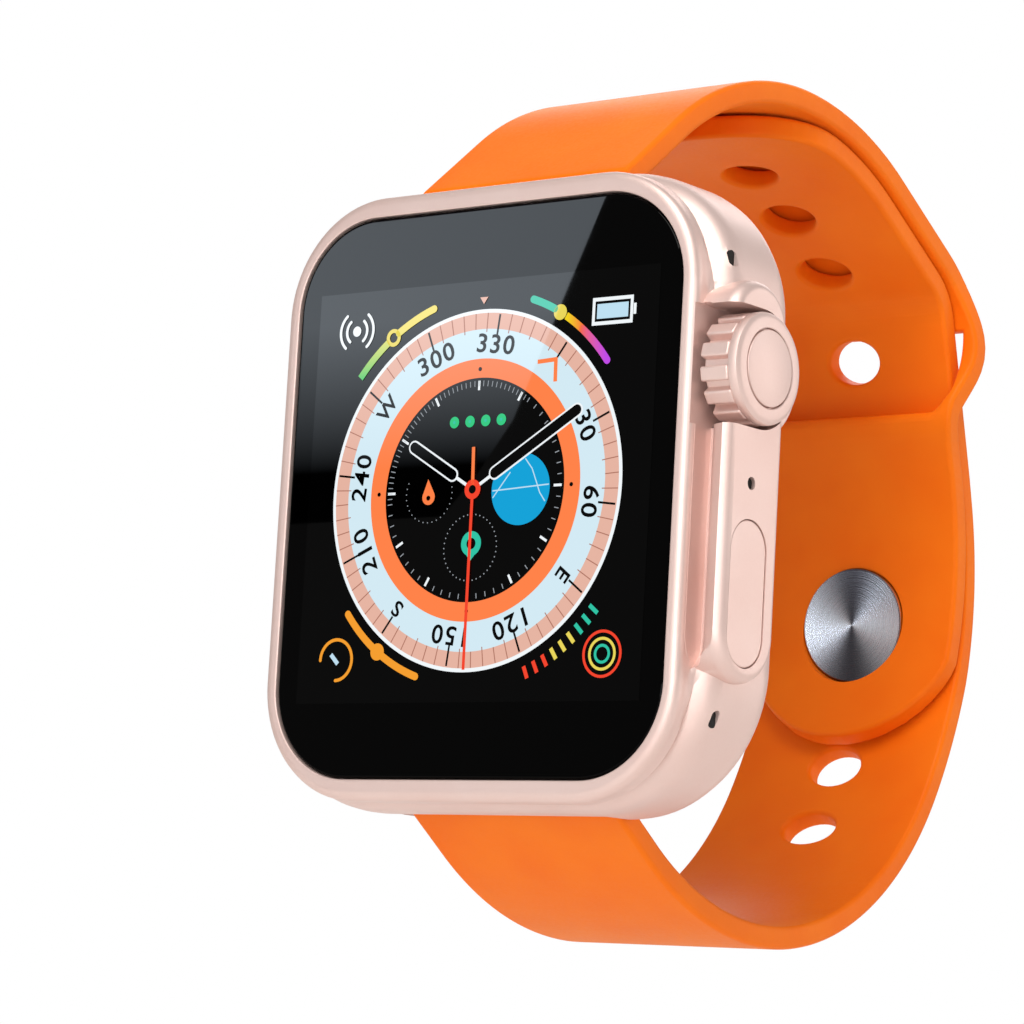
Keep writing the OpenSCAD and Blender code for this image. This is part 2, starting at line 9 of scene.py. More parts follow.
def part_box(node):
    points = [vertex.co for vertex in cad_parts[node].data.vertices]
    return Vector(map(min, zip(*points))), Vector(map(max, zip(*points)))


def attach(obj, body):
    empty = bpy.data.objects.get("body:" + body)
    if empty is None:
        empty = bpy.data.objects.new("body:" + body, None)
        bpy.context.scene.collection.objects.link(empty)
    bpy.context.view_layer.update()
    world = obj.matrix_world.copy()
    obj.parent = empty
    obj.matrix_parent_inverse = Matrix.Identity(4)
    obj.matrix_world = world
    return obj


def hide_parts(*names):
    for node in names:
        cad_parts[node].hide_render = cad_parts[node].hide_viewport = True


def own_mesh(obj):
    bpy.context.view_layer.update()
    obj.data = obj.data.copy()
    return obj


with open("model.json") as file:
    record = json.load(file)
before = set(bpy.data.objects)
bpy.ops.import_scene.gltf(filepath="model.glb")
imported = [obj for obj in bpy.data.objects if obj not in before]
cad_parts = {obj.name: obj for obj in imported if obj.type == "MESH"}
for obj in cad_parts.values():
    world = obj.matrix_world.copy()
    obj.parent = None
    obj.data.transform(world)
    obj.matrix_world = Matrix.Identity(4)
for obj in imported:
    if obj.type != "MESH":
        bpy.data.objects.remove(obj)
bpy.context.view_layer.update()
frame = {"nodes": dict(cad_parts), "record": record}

# A square watch with a crown, a side button and a pin-and-tuck strap. Shapes are worked out
# in millimetres, in the part's frame, and turned to metres as each piece is finished.
MM = 0.001


def box_mm(node):
    """The lowest and highest corner of a CAD node, in millimetres."""
    low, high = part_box(node)
    return low / MM, high / MM


glass_low, glass_high = box_mm("front_glass")
knob_low, knob_high = box_mm("crown_knob")
cap_low, cap_high = box_mm("crown_cap")
button_low, button_high = box_mm("side_button")
disc_low, disc_high = box_mm("clasp_disc")
stud_low, stud_high = box_mm("clasp_stud")

# Case.
CASE_W = 44.6
CASE_H = 49.8
CASE_R = 11.5
RIM_W = 40.6
RIM_H = 48.6
RIM_R = 9.4
GLASS_FRONT = glass_low.y
RIM_FRONT = GLASS_FRONT - 0.2
GLASS_W = glass_high.x - glass_low.x
GLASS_H = glass_high.z - glass_low.z
GLASS_R = 7.4
GUARD_X = 23.5
GUARD_Y = -8.7
GUARD_HALF = 3.7
GUARD_Z = (-15.0, 15.6)

# Crown and side button.
CROWN_Y = (knob_low.y + knob_high.y) / 2
CROWN_Z = (knob_low.z + knob_high.z) / 2
CROWN_R = (knob_high.z - knob_low.z) / 2
CROWN_TEETH = 14
TOOTH_H = 0.7
TOOTH_W = 1.15
POCKET_R = CROWN_R + 0.3
POCKET_X = 20.15
BUTTON_Y = (button_low.y + button_high.y) / 2
BUTTON_Z = (button_low.z + button_high.z) / 2
BUTTON_LONG = button_high.z - button_low.z
BUTTON_WIDE = button_high.y - button_low.y
BUTTON_IN = 21.9

# Strap. Each outer face is a path in the Y-Z plane: a start, a heading in degrees and then
# stretches. A stretch is (0, length) when straight, or (radius, turn), with left turns positive.
STRAP_W = 20.6
STRAP_T = 1.9
TAIL_W = 19.6
EDGE = 0.42
UPPER_START = (-9.2, 25.4)
UPPER_HEADING = 40
UPPER_PATH = [
    (0, 8.8), (28, -42.8), (31, -27.9), (0, 9.7), (8.5, -86.7), (0, 2.6), (1.6, 50.4),
    (34, -42.3), (30, -14),
]
LOWER_START = (-7.1, -23.9)
LOWER_HEADING = -32
LOWER_PATH = [
    (12, -4), (0, 6), (31, 29.3), (28.1, 66.9), (46, 12), (36, 33.5), (0, 13.4),
    (6.4, 43.7), (0, 9.6), (28.9, 31.5), (25.9, 8),
]
BEAD_Y = (-7.0, -4.8)
BEAD_Z = 22.6
BEAD_R = 1.6
BEAD_MIDDLE = (BEAD_Y[0] + BEAD_Y[1]) / 2
BEAD_WIDE = BEAD_Y[1] - BEAD_Y[0] + 2 * BEAD_R
LUG_SLOT_X = (-30, 10.5)
NECK_Y = (-7.5, -4.3)
CLASP_Z = (disc_low.z + disc_high.z) / 2
DISC_R = (disc_high.x - disc_low.x) / 2
END_R = STRAP_W / 2 + 0.7
SLICE = 0.8
SLOT_Z = (14.2, 22.0)
SLOT_HALF = 10.2
SLOT_R = 1.8
HOLE_R = 1.95
HOLE_SPREAD = 0.6
HOLE_PITCH = 7.2
HOLE_STEPS = [-3, -2, -1, 0, 1, 2, 3.4, 4.9, 5.9, 6.9]
TIP_Y = 21.2

# Dial, drawn on the glass. Angles are clockwise from twelve o'clock.
BEZEL_OUT = 14.28
BEZEL_BAND = 13.98
BEZEL_TICKS = 12.7
RING_OUT = 10.35
RING_IN = 8.83
BEZEL_TURN = 37
NUMBER_AT = 11.55
ARC = (15.2, 15.8)
LOW_ARC = (15.0, 15.6)
LAYER = 0.02


# ---- Paths --------------------------------------------------------------------------------

def along(place, stretch, share):
    """Where a stretch leads from place (y, z, heading) after a share of it."""
    y, z, heading = place
    size, amount = stretch
    if size == 0:
        angle = math.radians(heading)
        step = share * amount
        return y + step * math.cos(angle), z + step * math.sin(angle), heading
    k = math.copysign(size, amount)
    turned = heading + share * amount
    a, b = math.radians(heading), math.radians(turned)
    return y - k * (math.sin(a) - math.sin(b)), z + k * (math.cos(a) - math.cos(b)), turned


def stretch_length(stretch):
    """Length of one stretch of a path."""
    size, amount = stretch
    return amount if size == 0 else size * math.radians(abs(amount))


def place_on(start, heading, path, distance):
    """The place (y, z, heading) that lies a distance along a path."""
    place = (start[0], start[1], heading)
    for stretch in path[:-1]:
        length = stretch_length(stretch)
        if distance <= length:
            return along(place, stretch, distance / length)
        place = along(place, stretch, 1)
        distance -= length
    return along(place, path[-1], distance / stretch_length(path[-1]))


def on_upper(distance):
    """The place on the short strap's outer face."""
    return place_on(UPPER_START, UPPER_HEADING, UPPER_PATH, distance)


def on_lower(distance):
    """The place on the long strap's outer face."""
    return place_on(LOWER_START, LOWER_HEADING, LOWER_PATH, distance)


def search(path_place, height, low, high, rising):
    """The distance between low and high at which a path passes a height."""
    for _ in range(40):
        middle = (low + high) / 2
        if (path_place(middle)[1] < height) == rising:
            low = middle
        else:
            high = middle
    return low


UPPER_LENGTH = sum(stretch_length(s) for s in UPPER_PATH)
LOWER_LENGTH = sum(stretch_length(s) for s in LOWER_PATH)
STUD_AT = search(on_lower, CLASP_Z, 60, 85, True)


def down_upper(height):
    """The distance at which the hanging end of the short strap passes a height."""
    return search(on_upper, height, 60, UPPER_LENGTH, False)


# ---- Mesh tools ---------------------------------------------------------------------------

def plate(bm, wide, tall, radius, depth, facing="Y", segments=14):
    """A rounded rectangle across Y or X at a depth; returns its face.
    Facing Y, wide is along X; facing X, wide is along Y. Tall is along Z."""
    made = bmesh.ops.create_grid(bm, x_segments=1, y_segments=1, size=0.5)
    corners = made["verts"]
    bmesh.ops.scale(bm, vec=(wide, tall, 1), verts=corners)
    bmesh.ops.rotate(bm, matrix=Matrix.Rotation(math.pi / 2, 3, "X"), verts=corners)
    if facing == "X":
        bmesh.ops.rotate(bm, matrix=Matrix.Rotation(math.pi / 2, 3, "Z"), verts=corners)
    shift = (0, depth, 0) if facing == "Y" else (depth, 0, 0)
    bmesh.ops.translate(bm, vec=shift, verts=corners)
    before = set(bm.faces) - set(corners[0].link_faces)
    bmesh.ops.bevel(
        bm, geom=corners, offset=radius, offset_type="OFFSET", affect="VERTICES",
        segments=segments, profile=0.5, material=-1,
    )
    return next(f for f in bm.faces if f not in before)


def skin(bm, rings, facing="Y", segments=14):
    """Skins through rounded rectangles (depth, wide, tall, radius), closed at both ends."""
    faces = [plate(bm, w, t, r, d, facing, segments) for d, w, t, r in rings]
    edges = [list(f.edges) for f in faces]
    bmesh.ops.delete(bm, geom=faces[1:-1], context="FACES_ONLY")
    for near, far in zip(edges, edges[1:]):
        bmesh.ops.bridge_loops(bm, edges=near + far)
    bmesh.ops.recalc_face_normals(bm, faces=bm.faces)


def spin_round(bm, points, centre, axis, steps=96):
    """Spins a line of points about an axis through a centre, into a closed shape."""
    verts = [bm.verts.new(point) for point in points]
    edges = [bm.edges.new(pair) for pair in zip(verts, verts[1:])]
    bmesh.ops.spin(
        bm, geom=verts + edges, cent=centre, axis=axis, angle=2 * math.pi, steps=steps,
        use_merge=True,
    )
    bmesh.ops.remove_doubles(bm, verts=bm.verts, dist=1e-5)
    bmesh.ops.recalc_face_normals(bm, faces=bm.faces)


def lathe_x(bm, profile, y, z):
    """Spins (radius, x) points about an axis along X through y and z."""
    spin_round(bm, [(x, y, z + radius) for radius, x in profile], (0, y, z), (1, 0, 0))


def lathe_y(bm, profile, x, z, steps=96):
    """Spins (radius, y) points about an axis along Y through x and z."""
    spin_round(bm, [(x + radius, y, z) for radius, y in profile], (x, 0, z), (0, 1, 0), steps)


def in_scene(name, data):
    """A new object with its data, linked to the scene."""
    item = bpy.data.objects.new(name, data)
    bpy.context.scene.collection.objects.link(item)
    return item


def settled_mesh(item):
    """The mesh that an object comes to with its modifiers or its curve's thickness."""
    graph = bpy.context.evaluated_depsgraph_get()
    return bpy.data.meshes.new_from_object(item.evaluated_get(graph))


def mesh_object(bm, name):
    """Turns a bmesh in millimetres into an object at the origin, in metres."""
    bmesh.ops.scale(bm, vec=(MM, MM, MM), verts=bm.verts)
    mesh = bpy.data.meshes.new(name)
    bm.to_mesh(mesh)
    bm.free()
    return in_scene(name, mesh)


def settle(piece):
    """Turns a piece's modifiers into its own mesh."""
    mesh = settled_mesh(piece)
    piece.modifiers.clear()
    old = piece.data
    piece.data = mesh
    bpy.data.meshes.remove(old)


def carve(piece, cutters, operation="DIFFERENCE"):
    """Cuts the cutters from a piece, or joins them to it, and removes them."""
    for cutter in cutters:
        cut = piece.modifiers.new("carve", "BOOLEAN")
        cut.operation = operation
        cut.solver = "EXACT"
        cut.object = cutter
    settle(piece)
    for cutter in cutters:
        bpy.data.objects.remove(cutter)


def soften(piece, width, angle, segments):
    """Rounds a piece's edges that are sharper than an angle, by a width in millimetres."""
    bevel = piece.modifiers.new("soft_edges", "BEVEL")
    bevel.width = width * MM
    bevel.segments = segments
    bevel.limit_method = "ANGLE"
    bevel.angle_limit = math.radians(angle)
    bevel.harden_normals = False
    bevel.miter_outer = "MITER_ARC"


def shade(piece, angle):
    """Smooth shading, apart from edges sharper than the angle in degrees."""
    mesh = piece.data
    mesh.polygons.foreach_set("use_smooth", [True] * len(mesh.polygons))
    mesh.set_sharp_from_angle(angle=math.radians(angle))


def finish_piece(piece, body, material, nodes=(), angle=32, weighted=True):
    """Shades a piece, gives it its material, puts it with its body and hides the CAD nodes that it
    stands in for.
    """
    shade(piece, angle)
    if weighted:
        even = piece.modifiers.new("even_normals", "WEIGHTED_NORMAL")
        even.keep_sharp = True
    piece.data.materials.clear()
    piece.data.materials.append(material)
    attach(piece, body)
    if nodes:
        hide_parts(*nodes)


# ---- Materials ----------------------------------------------------------------------------

def srgb(code):
    """An sRGB hex colour as the linear colour that a shader takes."""
    parts = [int(code[i:i + 2], 16) / 255 for i in (0, 2, 4)]
    linear = [c / 12.92 if c <= 0.04045 else ((c + 0.055) / 1.055) ** 2.4 for c in parts]
    return (*linear, 1.0)


def feed(node, **sockets):
    """Sets a node's inputs by name, or by i and their index, or links them to an output."""
    for key, value in sockets.items():
        by_index = key[0] == "i" and key[1:].isdigit()
        socket = node.inputs[int(key[1:]) if by_index else key.replace("_", " ")]
        if isinstance(value, bpy.types.NodeSocket):
            node.id_data.links.new(value, socket)
        else:
            socket.default_value = value


def add(owner, kind, settings=None, **sockets):
    """Adds a shader node with its settings and inputs to a material or a world."""
    node = owner.node_tree.nodes.new("ShaderNode" + kind)
    for key, value in (settings or {}).items():
        setattr(node, key, value)
    feed(node, **sockets)
    return node


def new_material(name, colour, roughness, metallic=0.0, **sockets):
    """A material with one Principled shader; returns it and the shader."""
    material = bpy.data.materials.new(name)
    material.use_nodes = True
    material.diffuse_color = srgb(colour)
    shader = material.node_tree.nodes["Principled BSDF"]
    feed(shader, Base_Color=srgb(colour), Roughness=roughness, Metallic=metallic, **sockets)
    return material, shader


def texture(material, size_mm, detail=2.0, stretch=(1, 1, 1)):
    """Specks that are size_mm across, fixed to the piece; returns their value."""
    place = add(material, "TexCoord")
    laid = add(material, "Mapping", Vector=place.outputs["Object"], Scale=stretch)
    specks = add(
        material, "TexNoise", Vector=laid.outputs["Vector"], Scale=1 / (size_mm * MM),
        Detail=detail,
    )
    return specks.outputs["Fac"]


def surface(material, shader, value, smooth, rough, height_mm=None):
    """A finish whose roughness and height, in millimetres, follow the value of a texture."""
    spread = add(material, "MapRange", i0=value, i1=0.3, i2=0.7, i3=smooth, i4=rough)
    feed(shader, Roughness=spread.outputs["Result"])
    if height_mm:
        relief = add(material, "Bump", Strength=1.0, Distance=height_mm * MM, Height=value)
        feed(shader, Normal=relief.outputs["Normal"])


def cloud(material, shader, size_mm, first, second):
    """Faint patches, size_mm across, of two hex colours."""
    ramp = add(material, "ValToRGB", Fac=texture(material, size_mm))
    for stop, place, colour in zip(ramp.color_ramp.elements, (0.3, 0.7), (first, second)):
        stop.position = place
        stop.color = srgb(colour)
    feed(shader, Base_Color=ramp.outputs["Color"])


def bead_blasted_aluminium(name, colour, deeper):
    # Anodised aluminium, bead blasted: a satin metal with a very fine even grain.
    material, shader = new_material(name, colour, 0.48, 0.74)
    surface(material, shader, texture(material, 0.22, detail=3), 0.44, 0.52, 0.0016)
    cloud(material, shader, 9.0, colour, deeper)
    return material


def moulded_silicone(name, colour, deeper):
    # Silicone rubber from a spark-eroded mould: satin, faintly mottled, with a soft sheen.
    material, shader = new_material(
        name, colour, 0.46, Sheen_Weight=0.22, Sheen_Roughness=0.5, Sheen_Tint=srgb("FFAC50"),
        Specular_IOR_Level=0.16, IOR=1.41,
    )
    surface(material, shader, texture(material, 0.3), 0.42, 0.52, 0.004)
    cloud(material, shader, 7.0, colour, deeper)
    return material


def turned_disc_steel():
    # Stainless steel faced on a lathe: fine rings, so highlights spread into two fans; two light and
    # two dark fans of painted reflection are also laid into its colour.
    material, shader = new_material("turned_disc_steel", "C6C4C6", 0.26, 1.0, Anisotropic=0.85)
    place = add(material, "TexCoord")
    centred = add(
        material, "Mapping", Vector=place.outputs["Object"], Location=(0, 0, -CLASP_Z * MM),
    )
    flat = add(
        material, "VectorMath", {"operation": "MULTIPLY"}, i0=centred.outputs["Vector"],
        i1=(1, 0, 1),
    )
    across = add(
        material, "VectorMath", {"operation": "CROSS_PRODUCT"}, i0=flat.outputs["Vector"],
        i1=(0, 1, 0),
    )
    tangent = add(
        material, "VectorMath", {"operation": "NORMALIZE"}, i0=across.outputs["Vector"],
    )
    feed(shader, Tangent=tangent.outputs["Vector"])
    radius = add(
        material, "VectorMath", {"operation": "LENGTH"}, i0=flat.outputs["Vector"],
    )
    # The tool leaves a ring every 0.1 mm.
    rings = add(
        material, "TexNoise", {"noise_dimensions": "1D"}, W=radius.outputs["Value"],
        Scale=1 / (0.1 * MM), Detail=2.0,
    )
    surface(material, shader, rings.outputs["Fac"], 0.2, 0.34, 0.0006)
    # Painted reflection: two light fans and two dark ones are painted into the base colour round the
    # disc's centre, fixed to the disc, standing in for the fans of light that the turned rings
    # reflect.
    laid = add(
        material, "Mapping", Vector=centred.outputs["Vector"],
        Rotation=(math.radians(-90), 0, 0),
    )
    around = add(
        material, "TexGradient", {"gradient_type": "RADIAL"}, Vector=laid.outputs["Vector"],
    )
    painted_reflection_fans = add(material, "ValToRGB", Fac=around.outputs["Fac"])
    painted_reflection_fans.color_ramp.interpolation = "EASE"
    for position in (0.25, 0.5, 0.75):
        painted_reflection_fans.color_ramp.elements.new(position)
    for i, stop in enumerate(painted_reflection_fans.color_ramp.elements):
        stop.color = srgb("58565C" if i % 2 else "E4E6EE")
    feed(shader, Base_Color=painted_reflection_fans.outputs["Color"])
    return material


def moulded_plastic(name, colour, roughness):
    # Injection-moulded plastic with a fine spark-eroded grain.
    material, shader = new_material(name, colour, roughness)
    grain = texture(material, 0.35)
    surface(material, shader, grain, roughness - 0.06, roughness + 0.06, 0.003)
    return material


def drawn_metal(name, colour, roughness):
    # Drawn or stamped metal with fine lines along X.
    material, shader = new_material(name, colour, roughness, 1.0)
    lines = texture(material, 0.2, detail=3, stretch=(0.08, 1, 1))
    surface(material, shader, lines, roughness - 0.06, roughness + 0.1, 0.001)
    return material


def coated_glass():
    # Glass with an anti-reflection coat over a black ink: almost no reflection but a key light's.
    material, shader = new_material("coated_glass", "000000", 0.012, IOR=1.16)
    surface(material, shader, texture(material, 6.0), 0.006, 0.016)
    return material


def screen_glow(name, colour, second=None, span=None):
    # A lit screen under coated glass: its own even light, and the glass's faint reflection.
    material, shader = new_material(
        name, "000000", 0.012, IOR=1.19, Emission_Color=srgb(colour), Emission_Strength=1.0,
    )
    if second:
        # The colour fades to the second one along an axis, between two places in millimetres.
        axis, start, end = span
        place = add(material, "TexCoord")
        parts = add(material, "SeparateXYZ", Vector=place.outputs["Object"])
        share = add(material, "MapRange", i0=parts.outputs[axis], i1=start * MM, i2=end * MM)
        ramp = add(material, "ValToRGB", Fac=share.outputs["Result"])
        ramp.color_ramp.elements[0].color = srgb(colour)
        ramp.color_ramp.elements[1].color = srgb(second)
        feed(shader, Emission_Color=ramp.outputs["Color"])
    return material


case_pink = bead_blasted_aluminium("bead_blasted_pink_aluminium", "ECD4CD", "E7CBC3")
strap_orange = moulded_silicone("moulded_orange_silicone", "F8780E", "F46E08")
disc_steel = turned_disc_steel()
black_glass = coated_glass()


# ---- Case ---------------------------------------------------------------------------------

def ring(depth, inset, wide=CASE_W, tall=CASE_H, radius=CASE_R, share=0.8):
    """A station of the case: its outline pulled in by an inset, at a depth."""
    return depth, wide - 2 * inset, tall - 2 * inset, radius - share * inset


def rim_ring(depth, inset):
    """A station of the raised rim round the glass."""
    return ring(depth, inset, RIM_W, RIM_H, RIM_R, 1)


def solid_x(name, rings, y, z):
    """A rounded bar along X through y and z, from (x, wide, tall, radius) stations."""
    bm = bmesh.new()
    skin(bm, rings, facing="X", segments=20)
    bmesh.ops.translate(bm, vec=(0, y, z), verts=bm.verts)
    return mesh_object(bm, name)


def bar(name, wide, tall, stations, y, z):
    """A round-ended bar along X through y and z, pulled in at (x, inset) stations."""
    half = min(wide, tall) / 2
    rings = [(x, wide - 2 * s, tall - 2 * s, half - s - 0.01) for x, s in stations]
    return solid_x(name, rings, y, z)


def hole_x(name, wide, tall, start, end, y, z):
    """A plain round-ended bar along X from start to end, for a hole or what fills it."""
    return bar(name, wide, tall, [(start, 0), (end, 0)], y, z)


def block(name, low, high):
    """A plain cutter between two corners."""
    bm = bmesh.new()
    made = bmesh.ops.create_cube(bm, size=1)
    size = [b - a for a, b in zip(low, high)]
    middle = [(a + b) / 2 for a, b in zip(low, high)]
    bmesh.ops.scale(bm, vec=size, verts=made["verts"])
    bmesh.ops.translate(bm, vec=middle, verts=made["verts"])
    return mesh_object(bm, name)


def lug_cutter(sign):
    """The slot that a strap end slides in by, open towards -X."""
    bm = bmesh.new()
    wide = BEAD_WIDE + 0.2
    deep = 2 * BEAD_R + 0.2
    skin(bm, [(x, wide, deep, deep / 2 - 0.01) for x in LUG_SLOT_X], "X", 12)
    bmesh.ops.translate(bm, vec=(0, BEAD_MIDDLE, sign * BEAD_Z), verts=bm.verts)
    return mesh_object(bm, "lug_cutter")


def stack(name, rings):
    """A solid through rounded rectangles across Y, from (y, wide, tall, radius) stations."""
    bm = bmesh.new()
    skin(bm, rings, segments=24)
    return mesh_object(bm, name)


def make_case():
    """The case shell with its rim, crown guard, openings and the slots for the straps."""
    case = stack("case_shell", [
        rim_ring(RIM_FRONT, 0.8),
        rim_ring(RIM_FRONT + 0.04, 0.54),
        rim_ring(RIM_FRONT + 0.14, 0.3),
        rim_ring(RIM_FRONT + 0.3, 0.13),
        rim_ring(RIM_FRONT + 0.52, 0.03),
        rim_ring(RIM_FRONT + 0.8, 0.0),
        rim_ring(RIM_FRONT + 1.1, 0.02),
        rim_ring(RIM_FRONT + 1.45, 0.02),
        rim_ring(RIM_FRONT + 1.75, -0.05),
        ring(GLASS_FRONT + 1.85, 1.62, share=0.95),
        ring(GLASS_FRONT + 2.05, 1.25, share=0.9),
        ring(GLASS_FRONT + 2.3, 0.82),
        ring(GLASS_FRONT + 2.75, 0.38),
        ring(GLASS_FRONT + 3.4, 0.1),
        ring(GLASS_FRONT + 4.4, 0.0),
        ring(-4.8, 0.0),
        ring(-4.1, 0.1),
        ring(-3.4, 0.4),
        ring(-2.8, 0.8),
        ring(-2.1, 1.5),
        ring(-1.5, 2.4),
        ring(-1.12, 3.2),
        ring(-1.0, 3.7),
    ])

    middle = sum(GUARD_Z) / 2
    length = GUARD_Z[1] - GUARD_Z[0]
    guard = bar("guard", 2 * GUARD_HALF, length, [
        (17, 0.0), (GUARD_X - 1.1, 0.0), (GUARD_X - 0.75, 0.06), (GUARD_X - 0.4, 0.22),
        (GUARD_X - 0.12, 0.5), (GUARD_X, 0.85),
    ], GUARD_Y, middle)
    boss_wide = 2 * (CROWN_R + 0.9)
    boss = bar("boss", boss_wide, boss_wide, [
        (20.6, 0), (GUARD_X - 0.5, 0), (GUARD_X - 0.22, 0.1), (GUARD_X - 0.12, 0.3),
    ], CROWN_Y, CROWN_Z)
    carve(case, [guard, boss], "UNION")

    pocket = hole_x("pocket", 2 * POCKET_R, 2 * POCKET_R, POCKET_X, 30, CROWN_Y, CROWN_Z)
    front = block("front", (POCKET_X, -20, CROWN_Z - POCKET_R), (30, CROWN_Y, CROWN_Z + POCKET_R))
    press = hole_x(
        "press", BUTTON_WIDE + 0.12, BUTTON_LONG + 0.12, 21.4, 30, BUTTON_Y, BUTTON_Z,
    )
    seat = (GLASS_W + 0.2, GLASS_H + 0.2, GLASS_R + 0.1)
    cutters = [
        pocket, front, press,
        stack("glass_seat", [
            (GLASS_FRONT + 1.8, *seat),
            (GLASS_FRONT, *seat),
            (GLASS_FRONT - 0.12, seat[0] + 0.1, seat[1] + 0.1, seat[2] + 0.05),
            (RIM_FRONT - 0.02, seat[0] + 0.5, seat[1] + 0.5, seat[2] + 0.25),
        ]),
        stack("front_opening", [(y, 35.4, 42.5, 6.0) for y in (-11.5, -10.3)]),
        stack("cavity", [(y, 39.2, 37.8, 8.0) for y in (-10.4, -2.6)]),
        stack("back_ledge", [(y, 31.0, 34.0, 7.5) for y in (-2.7, -1.9)]),
        stack("back_opening", [(y, 34.2, 37.2, 9.1) for y in (-2.0, 1.0)]),
    ]
    # The cove between the rim and the guard.
    cutters.append(solid_x("cove", [
        (x, 2 * s, 28.6 - 2 * c, 2.6 - c)
        for x, s, c in ((20.32, 3.7, 0.3), (20.8, 3.7, 0.3), (21.15, 3.1, 0.2),
                        (21.45, 2.4, 0.1), (21.9, 2.05, 0.0), (22.5, 1.82, 0.0), (22.9, 1.55, 0.0))
    ], -14.0, -0.4))
    cutters.append(hole_x("mic", 1.0, 1.0, 19, 30, -9.26, 0))
    for y, z in ((-10, 17.2), (-9.5, -17.7)):
        cutters.append(hole_x("vent", 0.7, 1.3, 15, 30, y, z))
    for i in (-1, 0, 1):
        cutters.append(hole_x("speaker_slot", 0.9, 3.6, -30, -17.6, -6.2, 5 * i))
    for sign in (1, -1):
        cutters.append(lug_cutter(sign))
        ends = sorted((sign * BEAD_Z, sign * 28))
        mouth = block("mouth", (LUG_SLOT_X[0], -7.6, ends[0]), (LUG_SLOT_X[1], -4.2, ends[1]))
        cutters.append(mouth)
        bm = bmesh.new()
        skin(bm, [(y, 5.3, 2.0, 0.99) for y in (-4.7, 1)], "Y", 12)
        bmesh.ops.translate(bm, vec=(0, 0, sign * 20.1), verts=bm.verts)
        cutters.append(mesh_object(bm, "release_channel"))
    carve(case, cutters)
    soften(case, 0.07, angle=58, segments=2)
    finish_piece(case, "case", case_pink, ["case_frame"], angle=40)


def make_port_liners():
    """Black membranes just inside the three small openings on the crown side."""
    liners = [
        hole_x("mic_liner", 1.2, 1.2, 20.2, GUARD_X - 0.3, -9.26, 0),
        hole_x("vent_liner", 0.7, 1.3, 19.7, 21.2, -10, 17.2),
        hole_x("speaker_liner", 0.7, 1.3, 19.7, 21.2, -9.5, -17.7),
    ]
    mesh_black = moulded_plastic("acoustic_mesh_black", "050505", 0.8)
    for liner in liners:
        finish_piece(liner, "case", mesh_black)


def make_glass():
    """The cover glass, with a rounded edge."""
    bm = bmesh.new()
    skin(bm, [
        (glass_high.y, GLASS_W, GLASS_H, GLASS_R),
        (GLASS_FRONT + 0.22, GLASS_W, GLASS_H, GLASS_R),
        (GLASS_FRONT + 0.08, GLASS_W - 0.08, GLASS_H - 0.08, GLASS_R - 0.04),
        (GLASS_FRONT + 0.02, GLASS_W - 0.24, GLASS_H - 0.24, GLASS_R - 0.12),
        (GLASS_FRONT, GLASS_W - 0.44, GLASS_H - 0.44, GLASS_R - 0.22),
    ], segments=24)
    glass = mesh_object(bm, "cover_glass")
    finish_piece(glass, "case", black_glass, ["front_glass"], angle=25)


def make_crown():
    """The crown: a flange on a core with teeth round it, and a plain cap."""
    flange = knob_high.x
    bm = bmesh.new()
    core = CROWN_R - TOOTH_H
    lathe_x(bm, [
        (0, knob_low.x), (core - 0.1, knob_low.x), (core, knob_low.x + 0.1),
        (core, flange - 1.0), (CROWN_R - 0.16, flange - 1.0), (CROWN_R - 0.05, flange - 0.95),
        (CROWN_R, flange - 0.82), (CROWN_R, flange - 0.45), (CROWN_R - 0.07, flange - 0.22),
        (CROWN_R - 0.25, flange - 0.07), (CROWN_R - 0.5, flange), (3.13, flange),
        (3.06, flange - 0.05), (3.05, flange - 0.14), (3.05, flange - 0.4),
        (0, flange - 0.4),
    ], CROWN_Y, CROWN_Z)
    tooth_long = flange - 1.0 + 0.05 - knob_low.x
    for i in range(CROWN_TEETH):
        made = bmesh.ops.create_cube(bm, size=1)
        verts = made["verts"]
        bmesh.ops.scale(bm, vec=(tooth_long, TOOTH_W, TOOTH_H + 0.3), verts=verts)
        edges = list({e for v in verts for e in v.link_edges})
        result = bmesh.ops.bevel(
            bm, geom=edges, offset=0.2, offset_type="OFFSET", affect="EDGES",
            segments=3, profile=0.5, material=-1,
        )
        verts = list({v for f in result["faces"] for v in f.verts})
        up = core - 0.3 + (TOOTH_H + 0.3) / 2
        bmesh.ops.translate(bm, vec=(knob_low.x + tooth_long / 2, 0, up), verts=verts)
        turn = Matrix.Rotation(2 * math.pi * i / CROWN_TEETH, 3, "X")
        bmesh.ops.rotate(bm, matrix=turn, verts=verts)
        bmesh.ops.translate(bm, vec=(0, CROWN_Y, CROWN_Z), verts=verts)
    knob = mesh_object(bm, "crown_turned_knob")
    finish_piece(knob, "crown", case_pink, ["crown_knob"])

    bm = bmesh.new()
    cap_r = (cap_high.z - cap_low.z) / 2
    lathe_x(bm, [
        (0, cap_low.x), (cap_r, cap_low.x), (cap_r, cap_high.x - 0.14),
        (cap_r - 0.04, cap_high.x - 0.04), (cap_r - 0.14, cap_high.x), (0, cap_high.x),
    ], CROWN_Y, CROWN_Z)
    cap = mesh_object(bm, "crown_face")
    finish_piece(cap, "crown", case_pink, ["crown_cap"])


def make_side_button():
    """The long key and the two posts that it presses with."""
    face = button_high.x
    button = bar("side_button_key", BUTTON_WIDE, BUTTON_LONG, [
        (BUTTON_IN, 0.0), (face - 0.14, 0.0), (face - 0.06, 0.02), (face - 0.02, 0.06),
        (face, 0.14),
    ], BUTTON_Y, BUTTON_Z)
    posts = [
        hole_x("post", 1.2, 1.2, 18.2, BUTTON_IN + 0.1, BUTTON_Y, BUTTON_Z + k * 3.4)
        for k in (-1, 1)
    ]
    carve(button, posts, "UNION")
    finish_piece(button, "side_button_body", case_pink, ["side_button"])


# ---- Strap --------------------------------------------------------------------------------

